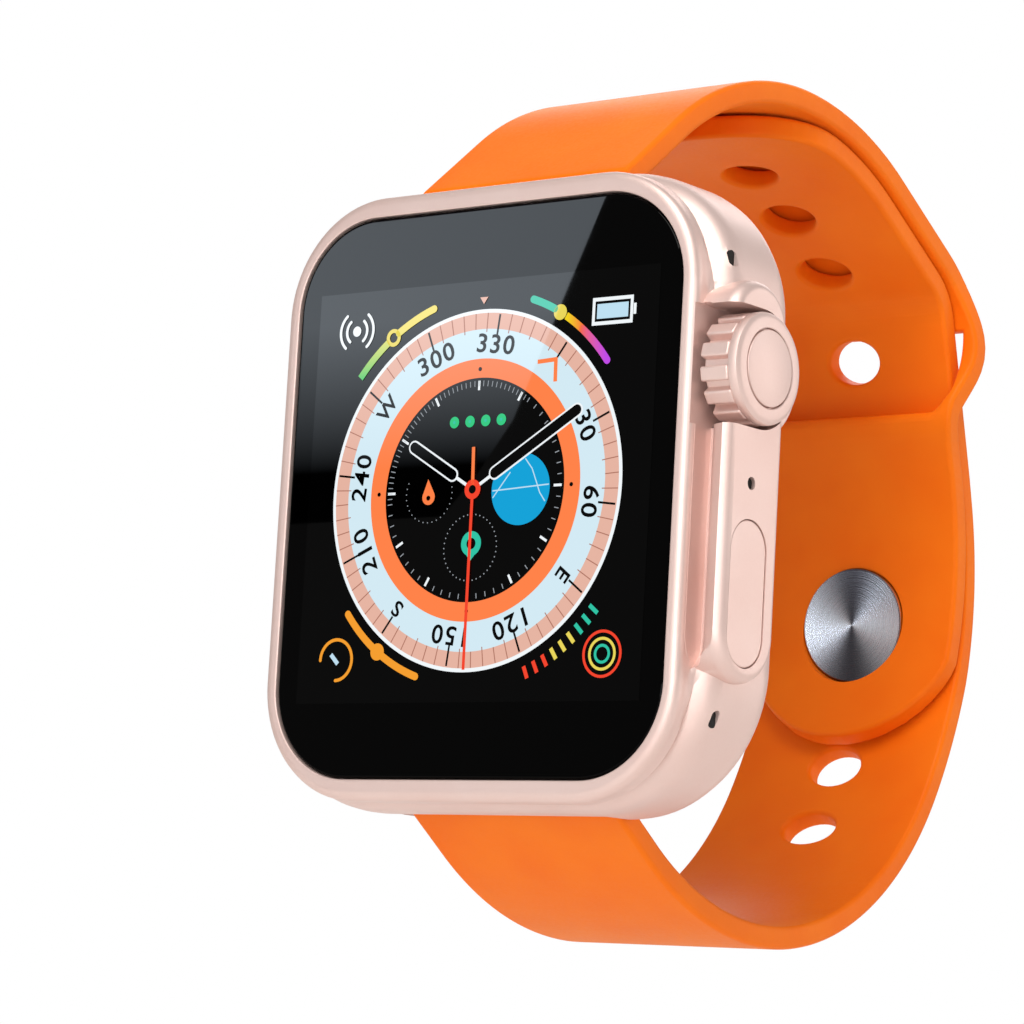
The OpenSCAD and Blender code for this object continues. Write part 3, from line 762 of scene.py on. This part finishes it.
def upper_half(distance):
    """Half width of the short strap at a distance: it swells beside the slot."""
    y, z, _ = on_upper(distance)
    if y < 20:
        return STRAP_W / 2
    if z < CLASP_Z:
        reach = END_R ** 2 - (z - CLASP_Z) ** 2
        return min(STRAP_W / 2, math.sqrt(max(reach, 0.0)))
    u = (z - 19.6) / 8.5
    return STRAP_W / 2 + (0.75 * (1 + math.cos(math.pi * u)) if abs(u) < 1 else 0)


def lower_half(distance):
    """Half width of the long strap: it narrows to the tail, whose tip is round."""
    y, z, _ = on_lower(distance)
    if distance < 60 or z < -9:
        return STRAP_W / 2
    share = min((z + 9) / 17, 1)
    half = STRAP_W / 2 + share * (TAIL_W - STRAP_W) / 2
    if y < TIP_Y and z > 20:
        half = math.sqrt(max((TAIL_W / 2) ** 2 - (y - TIP_Y) ** 2, 0.0))
    return half


def sides(distances, half):
    """A closed outline, up one side and down the other."""
    right = [(half(d), d) for d in distances]
    left = [(-half(d), d) for d in reversed(distances)]
    return right + left


def rounded_slot():
    """The slot that the tail passes through, as (x, distance) points."""
    far = down_upper(SLOT_Z[1])
    points = [(-SLOT_HALF, far), (SLOT_HALF, far)]
    for k in (1, -1):
        turns = [i * math.pi / 16 for i in range(9)]
        if k == -1:
            turns.reverse()
        for turn in turns:
            x = k * (SLOT_HALF - SLOT_R + SLOT_R * math.cos(turn))
            points.append((x, down_upper(SLOT_Z[0] + SLOT_R - SLOT_R * math.sin(turn))))
    return points


def round_hole(distance, radius, spread, steps=36):
    """A hole's outline, as (x, distance) points; spread makes it longer across."""
    points = []
    for i in range(steps):
        turn = 2 * math.pi * i / steps
        side = (radius + spread) * math.cos(turn)
        points.append((side, distance + radius * math.sin(turn)))
    return points


def winding(points):
    """Twice the signed area of an outline."""
    return sum(a[0] * b[1] - b[0] * a[1] for a, b in zip(points, points[1:] + points[:1]))


def strap_mesh(name, outline, holes, length, inner, path_place):
    """A flat strap with round edges, cut across every SLICE and laid along its path.
    The inner face lies on the given side of the path: 1 is left and -1 is right."""
    curve = bpy.data.curves.new(name, "CURVE")
    curve.dimensions = "2D"
    curve.fill_mode = "BOTH"
    curve.extrude = (STRAP_T / 2 - EDGE) * MM
    curve.bevel_depth = EDGE * MM
    curve.bevel_resolution = 3
    curve.offset = -EDGE * MM
    for i, points in enumerate([outline] + holes):
        if (winding(points) > 0) != (i == 0):
            points = points[::-1]
        spline = curve.splines.new("POLY")
        spline.points.add(len(points) - 1)
        for point, (x, d) in zip(spline.points, points):
            point.co = (x * MM, d * MM, 0, 1)
        spline.use_cyclic_u = True
    flat = in_scene(name, curve)
    mesh = settled_mesh(flat)
    bpy.data.objects.remove(flat)
    bm = bmesh.new()
    bm.from_mesh(mesh)
    bpy.data.meshes.remove(mesh)
    bmesh.ops.scale(bm, vec=(1 / MM, 1 / MM, 1 / MM), verts=bm.verts)
    bmesh.ops.remove_doubles(bm, verts=bm.verts, dist=1e-4)
    steps = int(length / SLICE)
    for i in range(1, steps):
        everything = list(bm.verts) + list(bm.edges) + list(bm.faces)
        bmesh.ops.bisect_plane(
            bm, geom=everything, dist=1e-5, plane_co=(0, i * length / steps, 0),
            plane_no=(0, 1, 0),
        )
    for vert in bm.verts:
        x, distance, height = vert.co
        y, z, heading = path_place(distance)
        depth = inner * (STRAP_T / 2 - height)
        angle = math.radians(heading)
        vert.co = (x, y - depth * math.sin(angle), z + depth * math.cos(angle))
    bmesh.ops.recalc_face_normals(bm, faces=bm.faces)
    return bm


def add_lug(bm, sign, neck):
    """The bead and neck at a strap's end, which slide into the case."""
    half = STRAP_W / 2
    ends = [(-half, 0.3), (-half + 0.1, 0.1), (-half + 0.3, 0), (half - 0.3, 0),
            (half - 0.1, 0.1), (half, 0.3)]
    bead = [(x, BEAD_WIDE - 2 * s, 2 * (BEAD_R - s), BEAD_R - s - 0.01) for x, s in ends]
    stem = [(x, NECK_Y[1] - NECK_Y[0] - 2 * s, neck, 0.1) for x, s in ends]
    for rings, y, z, segments in (
        (bead, BEAD_MIDDLE, BEAD_Z, 14), (stem, sum(NECK_Y) / 2, BEAD_Z + neck / 2, 3),
    ):
        part = bmesh.new()
        skin(part, rings, "X", segments)
        bmesh.ops.translate(part, vec=(0, y, sign * z), verts=part.verts)
        mesh = bpy.data.meshes.new("lug")
        part.to_mesh(mesh)
        part.free()
        bm.from_mesh(mesh)
        bpy.data.meshes.remove(mesh)


def make_upper_strap():
    """The short strap, with the slot for the tail and the seat of the clasp disc."""
    end = down_upper(CLASP_Z - END_R + 0.05)
    count = 90
    distances = [end * i / count for i in range(count)]
    # The last points crowd together, so that the tip stays round.
    tail = [end - (end - distances[-1]) * (1 - math.sin(i * math.pi / 20)) for i in range(1, 11)]
    outline = sides(distances + tail, upper_half)
    stud = round_hole(down_upper(CLASP_Z), 1.3, 0.0)
    bm = strap_mesh("upper", outline, [rounded_slot(), stud], end, -1, on_upper)
    add_lug(bm, 1, 3.6)
    strap = mesh_object(bm, "short_strap")
    cutter = bmesh.new()
    lathe_y(cutter, [(0, 30), (DISC_R + 0.1, 30), (DISC_R + 0.1, disc_low.y + 0.6),
                     (0, disc_low.y + 0.6)], 0, CLASP_Z, 72)
    carve(strap, [mesh_object(cutter, "disc_recess")])
    finish_piece(strap, "band", strap_orange, ["strap_upper"], angle=38)


def make_lower_strap():
    """The long strap, with its row of holes and a round tip."""
    count = 110
    distances = [LOWER_LENGTH * i / count for i in range(count - 2)]
    rest = LOWER_LENGTH - distances[-1]
    distances += [LOWER_LENGTH - rest * (1 - math.sin(i * math.pi / 24)) for i in range(1, 13)]
    holes = [
        round_hole(STUD_AT + step * HOLE_PITCH, HOLE_R, HOLE_SPREAD) for step in HOLE_STEPS
    ]
    bm = strap_mesh("lower", sides(distances, lower_half), holes, LOWER_LENGTH, 1, on_lower)
    add_lug(bm, -1, 2.0)
    strap = mesh_object(bm, "long_strap")
    finish_piece(strap, "band", strap_orange, ["strap_lower"], angle=38)


def make_disc():
    """The clasp's disc on the outside, and the head of its stud on the inside."""
    bm = bmesh.new()
    lathe_y(bm, [
        (0, disc_low.y), (DISC_R - 0.16, disc_low.y), (DISC_R - 0.04, disc_low.y + 0.05),
        (DISC_R, disc_low.y + 0.18), (DISC_R, disc_low.y + 0.6), (1.3, disc_low.y + 0.6),
        (1.3, disc_high.y), (0, disc_high.y),
    ], 0, CLASP_Z)
    finish_piece(mesh_object(bm, "stud_disc"), "band", disc_steel, ["clasp_disc"])
    bm = bmesh.new()
    out = stud_high.y
    lathe_y(bm, [
        (0, stud_low.y), (1.3, stud_low.y), (1.3, out - 1.05), (1.4, out - 1.0),
        (3.1, out - 1.0), (3.2, out - 0.9), (3.12, out - 0.7), (2.6, out - 0.12),
        (2.4, out - 0.02), (2.2, out), (0, out),
    ], 0, CLASP_Z)
    finish_piece(mesh_object(bm, "stud_head"), "band", disc_steel, ["clasp_stud"])


# ---- Dial ---------------------------------------------------------------------------------

# The printed sheets, by ink and level.
layers = {}


def on_dial(radius, angle):
    """A point at a radius and a clockwise angle in degrees, as (x, z)."""
    turn = math.radians(angle)
    return radius * math.sin(turn), radius * math.cos(turn)


def print_shape(ink, level, points, hole=()):
    """Adds a flat shape to an ink's sheet, at a level above the glass."""
    bm = layers.setdefault((ink, level), bmesh.new())
    depth = GLASS_FRONT - level * LAYER
    made = []
    for outline in (points, hole):
        verts = [bm.verts.new((x, depth, z)) for x, z in outline]
        made.append([bm.edges.new(p) for p in zip(verts, verts[1:] + verts[:1])])
    if hole:
        bmesh.ops.bridge_loops(bm, edges=made[0] + made[1])
    else:
        bmesh.ops.contextual_create(bm, geom=made[0])


def circle(radius, x=0.0, z=0.0, steps=96):
    """The points of a circle."""
    turns = [2 * math.pi * i / steps for i in range(steps)]
    return [(x + radius * math.sin(t), z + radius * math.cos(t)) for t in turns]


def rectangle(low, high, side=0.0, end=0.0):
    """The corners of an upright rectangle, pulled in at its sides and its ends."""
    x0, x1 = low[0] + side, high[0] - side
    z0, z1 = low[1] + end, high[1] - end
    return [(x0, z0), (x1, z0), (x1, z1), (x0, z1)]


def print_ring(ink, level, outer, inner, x=0.0, z=0.0, steps=160):
    """A flat ring between two radii."""
    print_shape(ink, level, circle(outer, x, z, steps), circle(inner, x, z, steps))


def arc_band(ink, level, r_in, r_out, start, end, x=0.0, z=0.0, cap=False, steps=24):
    """Part of a ring between two clockwise angles, with round ends if capped."""
    turns = [start + (end - start) * i / steps for i in range(steps + 1)]
    outer = [on_dial(r_out, t) for t in turns]
    inner = [on_dial(r_in, t) for t in reversed(turns)]
    middle, half = (r_in + r_out) / 2, (r_out - r_in) / 2
    ends = [[], []]
    if cap:
        for k, base in ((0, end), (1, start)):
            cx, cz = on_dial(middle, base)
            for i in range(1, 8):
                lean = base + 180 * k + 180 * i / 8
                px, pz = on_dial(half, lean)
                ends[k].append((cx + px, cz + pz))
    points = outer + ends[0] + inner + ends[1]
    print_shape(ink, level, [(px + x, pz + z) for px, pz in points])


def ray_bar(ink, level, r_in, r_out, angle, width):
    """A straight mark along a radius."""
    turn = math.radians(angle)
    across = (math.cos(turn) * width / 2, -math.sin(turn) * width / 2)
    low, high = on_dial(r_in, angle), on_dial(r_out, angle)
    print_shape(ink, level, [
        (low[0] - across[0], low[1] - across[1]), (low[0] + across[0], low[1] + across[1]),
        (high[0] + across[0], high[1] + across[1]), (high[0] - across[0], high[1] - across[1]),
    ])


def round_bar(r_in, r_out, angle, width, steps=8):
    """The outline of a round-ended bar along a radius."""
    points = []
    for base, radius in ((0, r_out), (180, r_in)):
        cx, cz = on_dial(radius, angle)
        for i in range(steps + 1):
            px, pz = on_dial(width / 2, angle + base - 90 + 180 * i / steps)
            points.append((cx + px, cz + pz))
    return points


def line(ink, level, a, b, width):
    """A straight stroke between two points."""
    dx, dz = b[0] - a[0], b[1] - a[1]
    size = math.hypot(dx, dz)
    nx, nz = -dz / size * width / 2, dx / size * width / 2
    print_shape(ink, level, [
        (a[0] + nx, a[1] + nz), (b[0] + nx, b[1] + nz), (b[0] - nx, b[1] - nz),
        (a[0] - nx, a[1] - nz),
    ])


def number(ink, level, figures, angle, tall):
    """A number on the bezel, its feet towards the centre."""
    curve = bpy.data.curves.new("number", "FONT")
    curve.body = figures
    curve.size = tall / 0.72
    curve.align_x = "CENTER"
    curve.resolution_u = 4
    curve.space_character = 1.14
    curve.offset = 0.03
    item = in_scene("number", curve)
    mesh = settled_mesh(item)
    bpy.data.objects.remove(item)
    place = (
        Matrix.Translation((0, GLASS_FRONT - level * LAYER, 0))
        @ Matrix.Rotation(math.radians(angle), 4, "Y")
        @ Matrix.Translation((0, 0, NUMBER_AT - tall / 2))
        @ Matrix.Rotation(math.pi / 2, 4, "X")
        @ Matrix.Diagonal((1.12, 1, 1, 1))
    )
    mesh.transform(place)
    bm = layers.setdefault((ink, level), bmesh.new())
    bm.from_mesh(mesh)
    bpy.data.meshes.remove(mesh)


INKS = {
    "ice_white": screen_glow("screen_ice_white", "D3EAF4"),
    "pure_white": screen_glow("screen_white", "F2F8FB"),
    "peach": screen_glow("screen_peach", "E6B4A2"),
    "brown": screen_glow("screen_brown", "AD7463"),
    "ink": screen_glow("screen_black", "010101"),
    "orange": screen_glow("screen_orange", "FF8248"),
    "amber": screen_glow("screen_amber", "F59E2E"),
    "red": screen_glow("screen_red", "F4442C"),
    "green": screen_glow("screen_green", "22C77C"),
    "mint": screen_glow("screen_mint", "2FC3A4"),
    "blue": screen_glow("screen_blue", "0FA2D8"),
    "grey": screen_glow("screen_grey", "9AA0A6"),
    "yellow": screen_glow("screen_yellow", "E9D65A"),
    "pale_blue": screen_glow("screen_pale_blue", "BFE0F2"),
    "lime_fade": screen_glow("screen_lime_fade", "55C96B", "F0DF6A", ("Z", 9.5, 13.2)),
    "warm_fade": screen_glow("screen_warm_fade", "F2D21E", "F5763C", ("X", 8.3, 9.8)),
    "pink_fade": screen_glow("screen_pink_fade", "F5683C", "C04BE8", ("X", 9.5, 12.2)),
    "active": screen_glow("screen_unlit", "010101"),
}


def draw_bezel():
    """The compass ring: its figures, its ticks, an orange corner mark and an orange ring."""
    print_ring("pure_white", 2, BEZEL_OUT, RING_OUT)
    print_ring("ice_white", 3, BEZEL_TICKS, RING_OUT)
    print_ring("peach", 3, BEZEL_BAND, BEZEL_TICKS)
    for i in range(72):
        angle = 5 * i + BEZEL_TURN
        if i % 6:
            ray_bar("brown", 4, BEZEL_TICKS - (0.25 if i % 2 else 0.0), BEZEL_BAND, angle, 0.08)
        else:
            ray_bar("ink", 4, BEZEL_TICKS - 0.45, BEZEL_BAND - 0.1, angle, 0.17)
    marks = ["", "30", "60", "E", "120", "150", "S", "210", "240", "W", "300", "330"]
    for i, figures in enumerate(marks):
        if figures:
            tall = 1.5 if figures[0].isdigit() else 1.3
            number("ink", 5, figures, BEZEL_TURN + 30 * i, tall)
    x, z = on_dial(12.3, BEZEL_TURN)
    line("orange", 5, (x + 0.15, z), (x - 1.75, z - 0.1), 0.34)
    line("orange", 5, (x, z + 0.1), (x + 0.05, z - 1.75), 0.34)
    print_ring("orange", 3, RING_OUT, RING_IN)
    for angle in (0, 90, 180, 270):
        print_shape("ink", 4, circle(0.17, *on_dial(9.52, angle), steps=16))


def draw_centre():
    """The black middle: the minute track, four green lamps and three small pictures."""
    print_shape("ink", 3, circle(RING_IN, steps=160))
    for i in range(60):
        if i % 5:
            ray_bar("grey", 4, 8.2, 8.6, 6 * i, 0.07)
        else:
            ray_bar("pure_white", 4, 7.85, 8.6, 6 * i, 0.2)
    # The upper part of the track has a mark at each half step too.
    for i in range(-32, 12):
        ray_bar("grey", 4, 8.15, 8.6, 3 * i, 0.06)
    for x in (-2.25, -0.7, 0.86, 2.4):
        print_shape("green", 5, circle(0.46, x, 5.4, 28))
        print_shape("mint", 6, circle(0.13, x, 5.4, 12))
    # Left: a drop. Right: a blue disc with fine lines. Below: a small ring in a dotted circle.
    print_shape("orange", 5, circle(0.62, -4.43, -0.42, 28))
    print_shape("orange", 5, [(-4.98, -0.15), (-4.55, 1.0), (-3.9, -0.1)])
    print_shape("ink", 6, circle(0.2, -4.43, -0.5, 16))
    print_shape("blue", 5, circle(2.82, 4.66, -0.15, 72))
    line("pale_blue", 6, (1.95, -0.2), (7.4, 0.1), 0.1)
    line("pale_blue", 6, (2.0, -0.75), (3.6, 1.2), 0.09)
    bend = [(5.0, 2.2), (5.7, 1.4), (6.2, 0.3), (6.55, -0.5), (7.1, -1.2)]
    for a, b in zip(bend, bend[1:]):
        line("pale_blue", 6, a, b, 0.09)
    print_ring("mint", 5, 0.98, 0.45, 0.1, -4.25, 40)
    print_shape("mint", 5, [(-0.4, -5.05), (0.6, -5.05), (0.1, -5.6)])
    for i in range(40):
        x, z = on_dial(2.6, 9 * i)
        print_shape("grey", 4, circle(0.055, x, z - 4.55, 8))
    for i in range(32):
        x, z = on_dial(2.3, 360 * i / 32)
        if z < 1.2:
            print_shape("grey", 4, circle(0.05, x - 4.4, z - 0.15, 8))


def draw_hands():
    """Two white hands with black middles, and a red one with an orange tail."""
    for angle, near, far in ((-59.5, 2.45, 7.1), (59.5, 2.4, 11.3)):
        line("pure_white", 7, on_dial(0.5, angle), on_dial(near, angle), 0.26)
        print_shape("pure_white", 7, round_bar(near, far, angle, 1.12))
        print_shape("ink", 8, round_bar(near, far, angle, 0.84))
    line("orange", 9, on_dial(3.35, -2.2), (0, 0), 0.3)
    line("red", 9, (0, 0), on_dial(14.1, 179.6), 0.27)
    print_ring("red", 9, 0.78, 0.33, steps=40)
    print_shape("ink", 10, circle(0.34, steps=24))


def draw_corners():
    """The four corner pictures, each with the arc beside it, and a marker at the top."""
    # Upper left: waves and a green to yellow arc.
    waves = (-12.87, 13.4)
    print_shape("pure_white", 4, circle(0.42, *waves, 24))
    for radius in (1.05, 1.7):
        for base in (90, 270):
            arc_band("pure_white", 4, radius - 0.12, radius + 0.12, base - 50, base + 50,
                     *waves, cap=True)
    arc_band("lime_fade", 4, *ARC, -52.0, -37.6)
    arc_band("lime_fade", 4, *ARC, -33.2, -18.8, cap=True)
    print_ring("yellow", 4, 0.72, 0.4, -9.0, 12.62, 32)
    # Upper right: a teal, yellow, orange and pink arc, and a battery.
    arc_band("mint", 4, *ARC, 18.4, 27.0, cap=True)
    print_shape("yellow", 4, circle(0.62, 7.57, 13.5, 32))
    arc_band("warm_fade", 4, *ARC, 31.8, 39.0)
    arc_band("pink_fade", 4, *ARC, 39.0, 52.5, cap=True)
    battery = ((10.66, 12.2), (14.5, 14.35))
    print_shape("pure_white", 4, rectangle(*battery), rectangle(*battery, 0.25, 0.28))
    print_shape("pale_blue", 4, rectangle(*battery, 0.45, 0.5))
    print_shape("pure_white", 4, rectangle((14.55, 12.85), (14.8, 13.7)))
    # Lower left: a gauge and an amber arc.
    arc_band("amber", 4, 1.5, 1.76, -90, 178, -12.95, -13.15, cap=True, steps=40)
    line("pale_blue", 4, (-13.5, -12.7), (-12.75, -13.45), 0.36)
    arc_band("amber", 4, *LOW_ARC, 198.0, 212.4, cap=True)
    arc_band("amber", 4, *LOW_ARC, 217.2, 231.6, cap=True)
    print_shape("amber", 4, circle(0.68, -8.74, -12.56, 32))
    # Lower right: a row of coloured ticks and three rings.
    for i in range(9):
        ink = ("red", "yellow", "mint")[i // 3]
        ray_bar(ink, 4, 15.1, 16.1, 157.0 - 3.6 * i, 0.34)
    for radius, ink in ((1.83, "red"), (1.28, "yellow"), (0.75, "mint")):
        print_ring(ink, 4, radius, radius - 0.22, 13.27, -13.05, 40)
    # Top: a small marker.
    print_shape("peach", 4, [(-0.4, 15.25), (0.4, 15.25), (0.0, 14.7)])


def make_dial():
    """Draws the dial and makes each ink's sheet of one level a thin piece."""
    print_shape("active", 1, rectangle((-16.9, -16.6), (16.9, 16.6)))
    draw_bezel()
    draw_centre()
    draw_hands()
    draw_corners()
    for (ink, level), bm in layers.items():
        bmesh.ops.recalc_face_normals(bm, faces=bm.faces)
        toward = [f for f in bm.faces if f.normal.y > 0]
        bmesh.ops.reverse_faces(bm, faces=toward)
        lit = mesh_object(bm, f"dial_{ink}_{level}")
        sheet = lit.modifiers.new("print", "SOLIDIFY")
        sheet.thickness = 0.75 * LAYER * MM
        sheet.offset = -1.0
        finish_piece(lit, "case", INKS[ink], angle=0, weighted=False)
    # The last sheet stands for the panel, which the black glass hides.
    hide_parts("display_panel")


# ---- Pieces that keep their CAD shape -------------------------------------------------------

SLOT_MATERIALS = {
    "case_metal": case_pink,
    "cover_glass": black_glass,
    "display": moulded_plastic("screen_back", "0A0A0C", 0.3),
    "seal_rubber": moulded_plastic("nitrile_rubber", "1E1E20", 0.6),
    "flex_film": moulded_plastic("polyimide_film", "B4631F", 0.3),
    "inner_alloy": drawn_metal("die_cast_alloy", "9AA0A6", 0.4),
    "circuit_board": moulded_plastic("solder_mask_green", "1D6B3C", 0.35),
    "tin_plate": drawn_metal("tin_plate", "C9CCD0", 0.3),
    "cell_pouch": drawn_metal("foil_pouch", "2B2F36", 0.4),
    "black_plastic": moulded_plastic("liquid_crystal_polymer", "232327", 0.45),
    "mesh_steel": drawn_metal("woven_steel", "4A4E55", 0.45),
    "bushing_brass": drawn_metal("free_cutting_brass", "C8A45A", 0.25),
    "spring_steel": drawn_metal("spring_steel", "C9CCD0", 0.22),
    "white_plastic": moulded_plastic("acetal_white", "E8E4DA", 0.4),
    "turned_steel": drawn_metal("turned_steel", "C2C5C9", 0.22),
    "back_black": moulded_plastic("glass_filled_black_plastic", "1B1C1F", 0.36),
    "sensor_glass": moulded_plastic("tinted_sensor_glass", "0C0F14", 0.08),
    "coil_copper": drawn_metal("enamelled_copper", "B8692E", 0.35),
    "magnet": drawn_metal("nickel_plated_magnet", "8D9299", 0.25),
    "silicone": strap_orange,
    "disc_steel": disc_steel,
}


def dress_cad_nodes():
    """Gives every CAD node the material of its slot."""
    for entry in frame["record"]["subparts"]:
        mesh = frame["nodes"][entry["node"]].data
        mesh.materials.clear()
        mesh.materials.append(SLOT_MATERIALS[entry["material_slot"]])


def make_springs():
    """The tubes of the press springs, copied from their CAD nodes and put with the case."""
    for node, joint, axis, travel in (
        ("crown_spring", "crown_press", 0, 0.5), ("side_button_springs", "side_button_press", 0, 0.4),
        ("release_spring_upper", "release_upper_press", 1, 0.6),
        ("release_spring_lower", "release_lower_press", 1, 0.6),
    ):
        spring = in_scene(node + "_tube", frame["nodes"][node].data.copy())
        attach(spring, "case")
        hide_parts(node)
        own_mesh(spring)


# ---- Stage --------------------------------------------------------------------------------

def stage_object(bm, name, material):
    """A piece that lights or carries the watch but isn't part of it."""
    piece = mesh_object(bm, name)
    piece.data.materials.append(material)


def make_stage():
    """A pale floor."""
    floor_paint, _ = new_material("studio_floor", "F4F3F1", 0.7)
    bm = bmesh.new()
    bmesh.ops.create_grid(bm, x_segments=1, y_segments=1, size=2000)
    bmesh.ops.translate(bm, vec=(0, 0, -75), verts=bm.verts)
    stage_object(bm, "floor", floor_paint)


GLARE = [(11.39, 22.5), (3.48, 5.3), (0.4, 1.4), (-3.0, -2.0), (-19.0, -2.0), (-19.0, 22.5)]
CAMERA_AT = Vector((179.059, -236.512, -40.830))


def make_glare_card():
    """A bright card whose mirror image in the glass covers the GLARE outline, in millimetres."""
    mirrored = Vector((CAMERA_AT.x, 2 * GLASS_FRONT - CAMERA_AT.y, CAMERA_AT.z))
    card_y = -1200.0
    reach = (card_y - mirrored.y) / (GLASS_FRONT - mirrored.y)

    def on_card(x, z):
        return mirrored + reach * (Vector((x, GLASS_FRONT, z)) - mirrored)

    bm = bmesh.new()
    bm.faces.new([bm.verts.new(on_card(x, z)) for x, z in GLARE])
    material, shader = new_material("studio_card", "000000", 1.0, Emission_Color=srgb("C4CED8"))
    place = add(material, "TexCoord")
    parts = add(material, "SeparateXYZ", Vector=place.outputs["Object"])
    # It shines from the height seen 2 mm up the glass, and fully at the one seen 14 mm up.
    low, top = (on_card(0, z).z * MM for z in (2, 14))
    fade = add(material, "MapRange", i0=parts.outputs["Z"], i1=low, i2=top, i3=0.0, i4=21.0)
    feed(shader, Emission_Strength=fade.outputs["Result"])
    stage_object(bm, "glare_card", material)


def area_light(name, place, target, size, power, colour="FFFFFF"):
    """A rectangular light at a place, facing a target, in metres."""
    light = bpy.data.lights.new(name, "AREA")
    light.shape = "RECTANGLE"
    light.size, light.size_y = size
    light.energy = power
    light.color = srgb(colour)[:3]
    item = in_scene(name, light)
    item.location = place
    item.rotation_euler = (Vector(target) - Vector(place)).to_track_quat("-Z", "Y").to_euler()


def make_lights():
    """The lamps, and a pale room whose walls look white to the camera."""
    centre = (0, 0.015, 0)
    area_light("key", (0.25, -0.55, 0.75), centre, (0.5, 0.5), 5.5, "FFFBF6")
    area_light("side_fill", (0.6, 0.62, 0.12), centre, (0.7, 0.7), 1.9, "FFF8F4")
    area_light("strap_fill", (0.12, -0.5, 0.1), (0, 0.04, 0), (0.2, 0.2), 0.7)
    area_light("under_fill", (0.3, -0.5, -0.05), centre, (0.3, 0.12), 0.4)
    area_light("back_top", (-0.35, 0.75, 0.6), centre, (0.6, 0.4), 2.4)
    world = bpy.data.worlds.new("studio")
    world.use_nodes = True
    nodes = world.node_tree.nodes
    feed(nodes["Background"], Color=srgb("F6F4F3"), Strength=0.42)
    white = add(world, "Background", Color=(1, 1, 1, 1), Strength=1.0)
    ray = add(world, "LightPath")
    mix = add(
        world, "MixShader", i0=ray.outputs["Is Camera Ray"], i1=nodes["Background"].outputs[0],
        i2=white.outputs[0],
    )
    feed(nodes["World Output"], Surface=mix.outputs[0])
    bpy.context.scene.world = world
    bpy.context.scene.view_settings.view_transform = "Standard"


def make_camera():
    """The camera, from its azimuth, elevation and roll about the watch."""
    azimuth, elevation, roll = (math.radians(a) for a in (38.086, -7.804, 3.234))
    back = Vector((
        math.sin(azimuth) * math.cos(elevation), -math.cos(azimuth) * math.cos(elevation),
        math.sin(elevation),
    ))
    right = (-back).cross(Vector((0, 0, 1))).normalized()
    up = right.cross(-back)
    across = math.cos(roll) * right + math.sin(roll) * up
    rise = -math.sin(roll) * right + math.cos(roll) * up
    data = bpy.data.cameras.new("camera")
    data.sensor_width = 36.0
    data.lens = 130.75
    data.clip_start = 0.01
    data.clip_end = 10.0
    camera = in_scene("camera", data)
    turn = Matrix((across, rise, back)).transposed().to_4x4()
    camera.matrix_world = Matrix.Translation(CAMERA_AT * MM) @ turn
    bpy.context.scene.camera = camera


dress_cad_nodes()
make_case()
make_port_liners()
make_glass()
make_crown()
make_side_button()
make_upper_strap()
make_lower_strap()
make_disc()
make_dial()
make_springs()
make_stage()
make_glare_card()
make_lights()
make_camera()
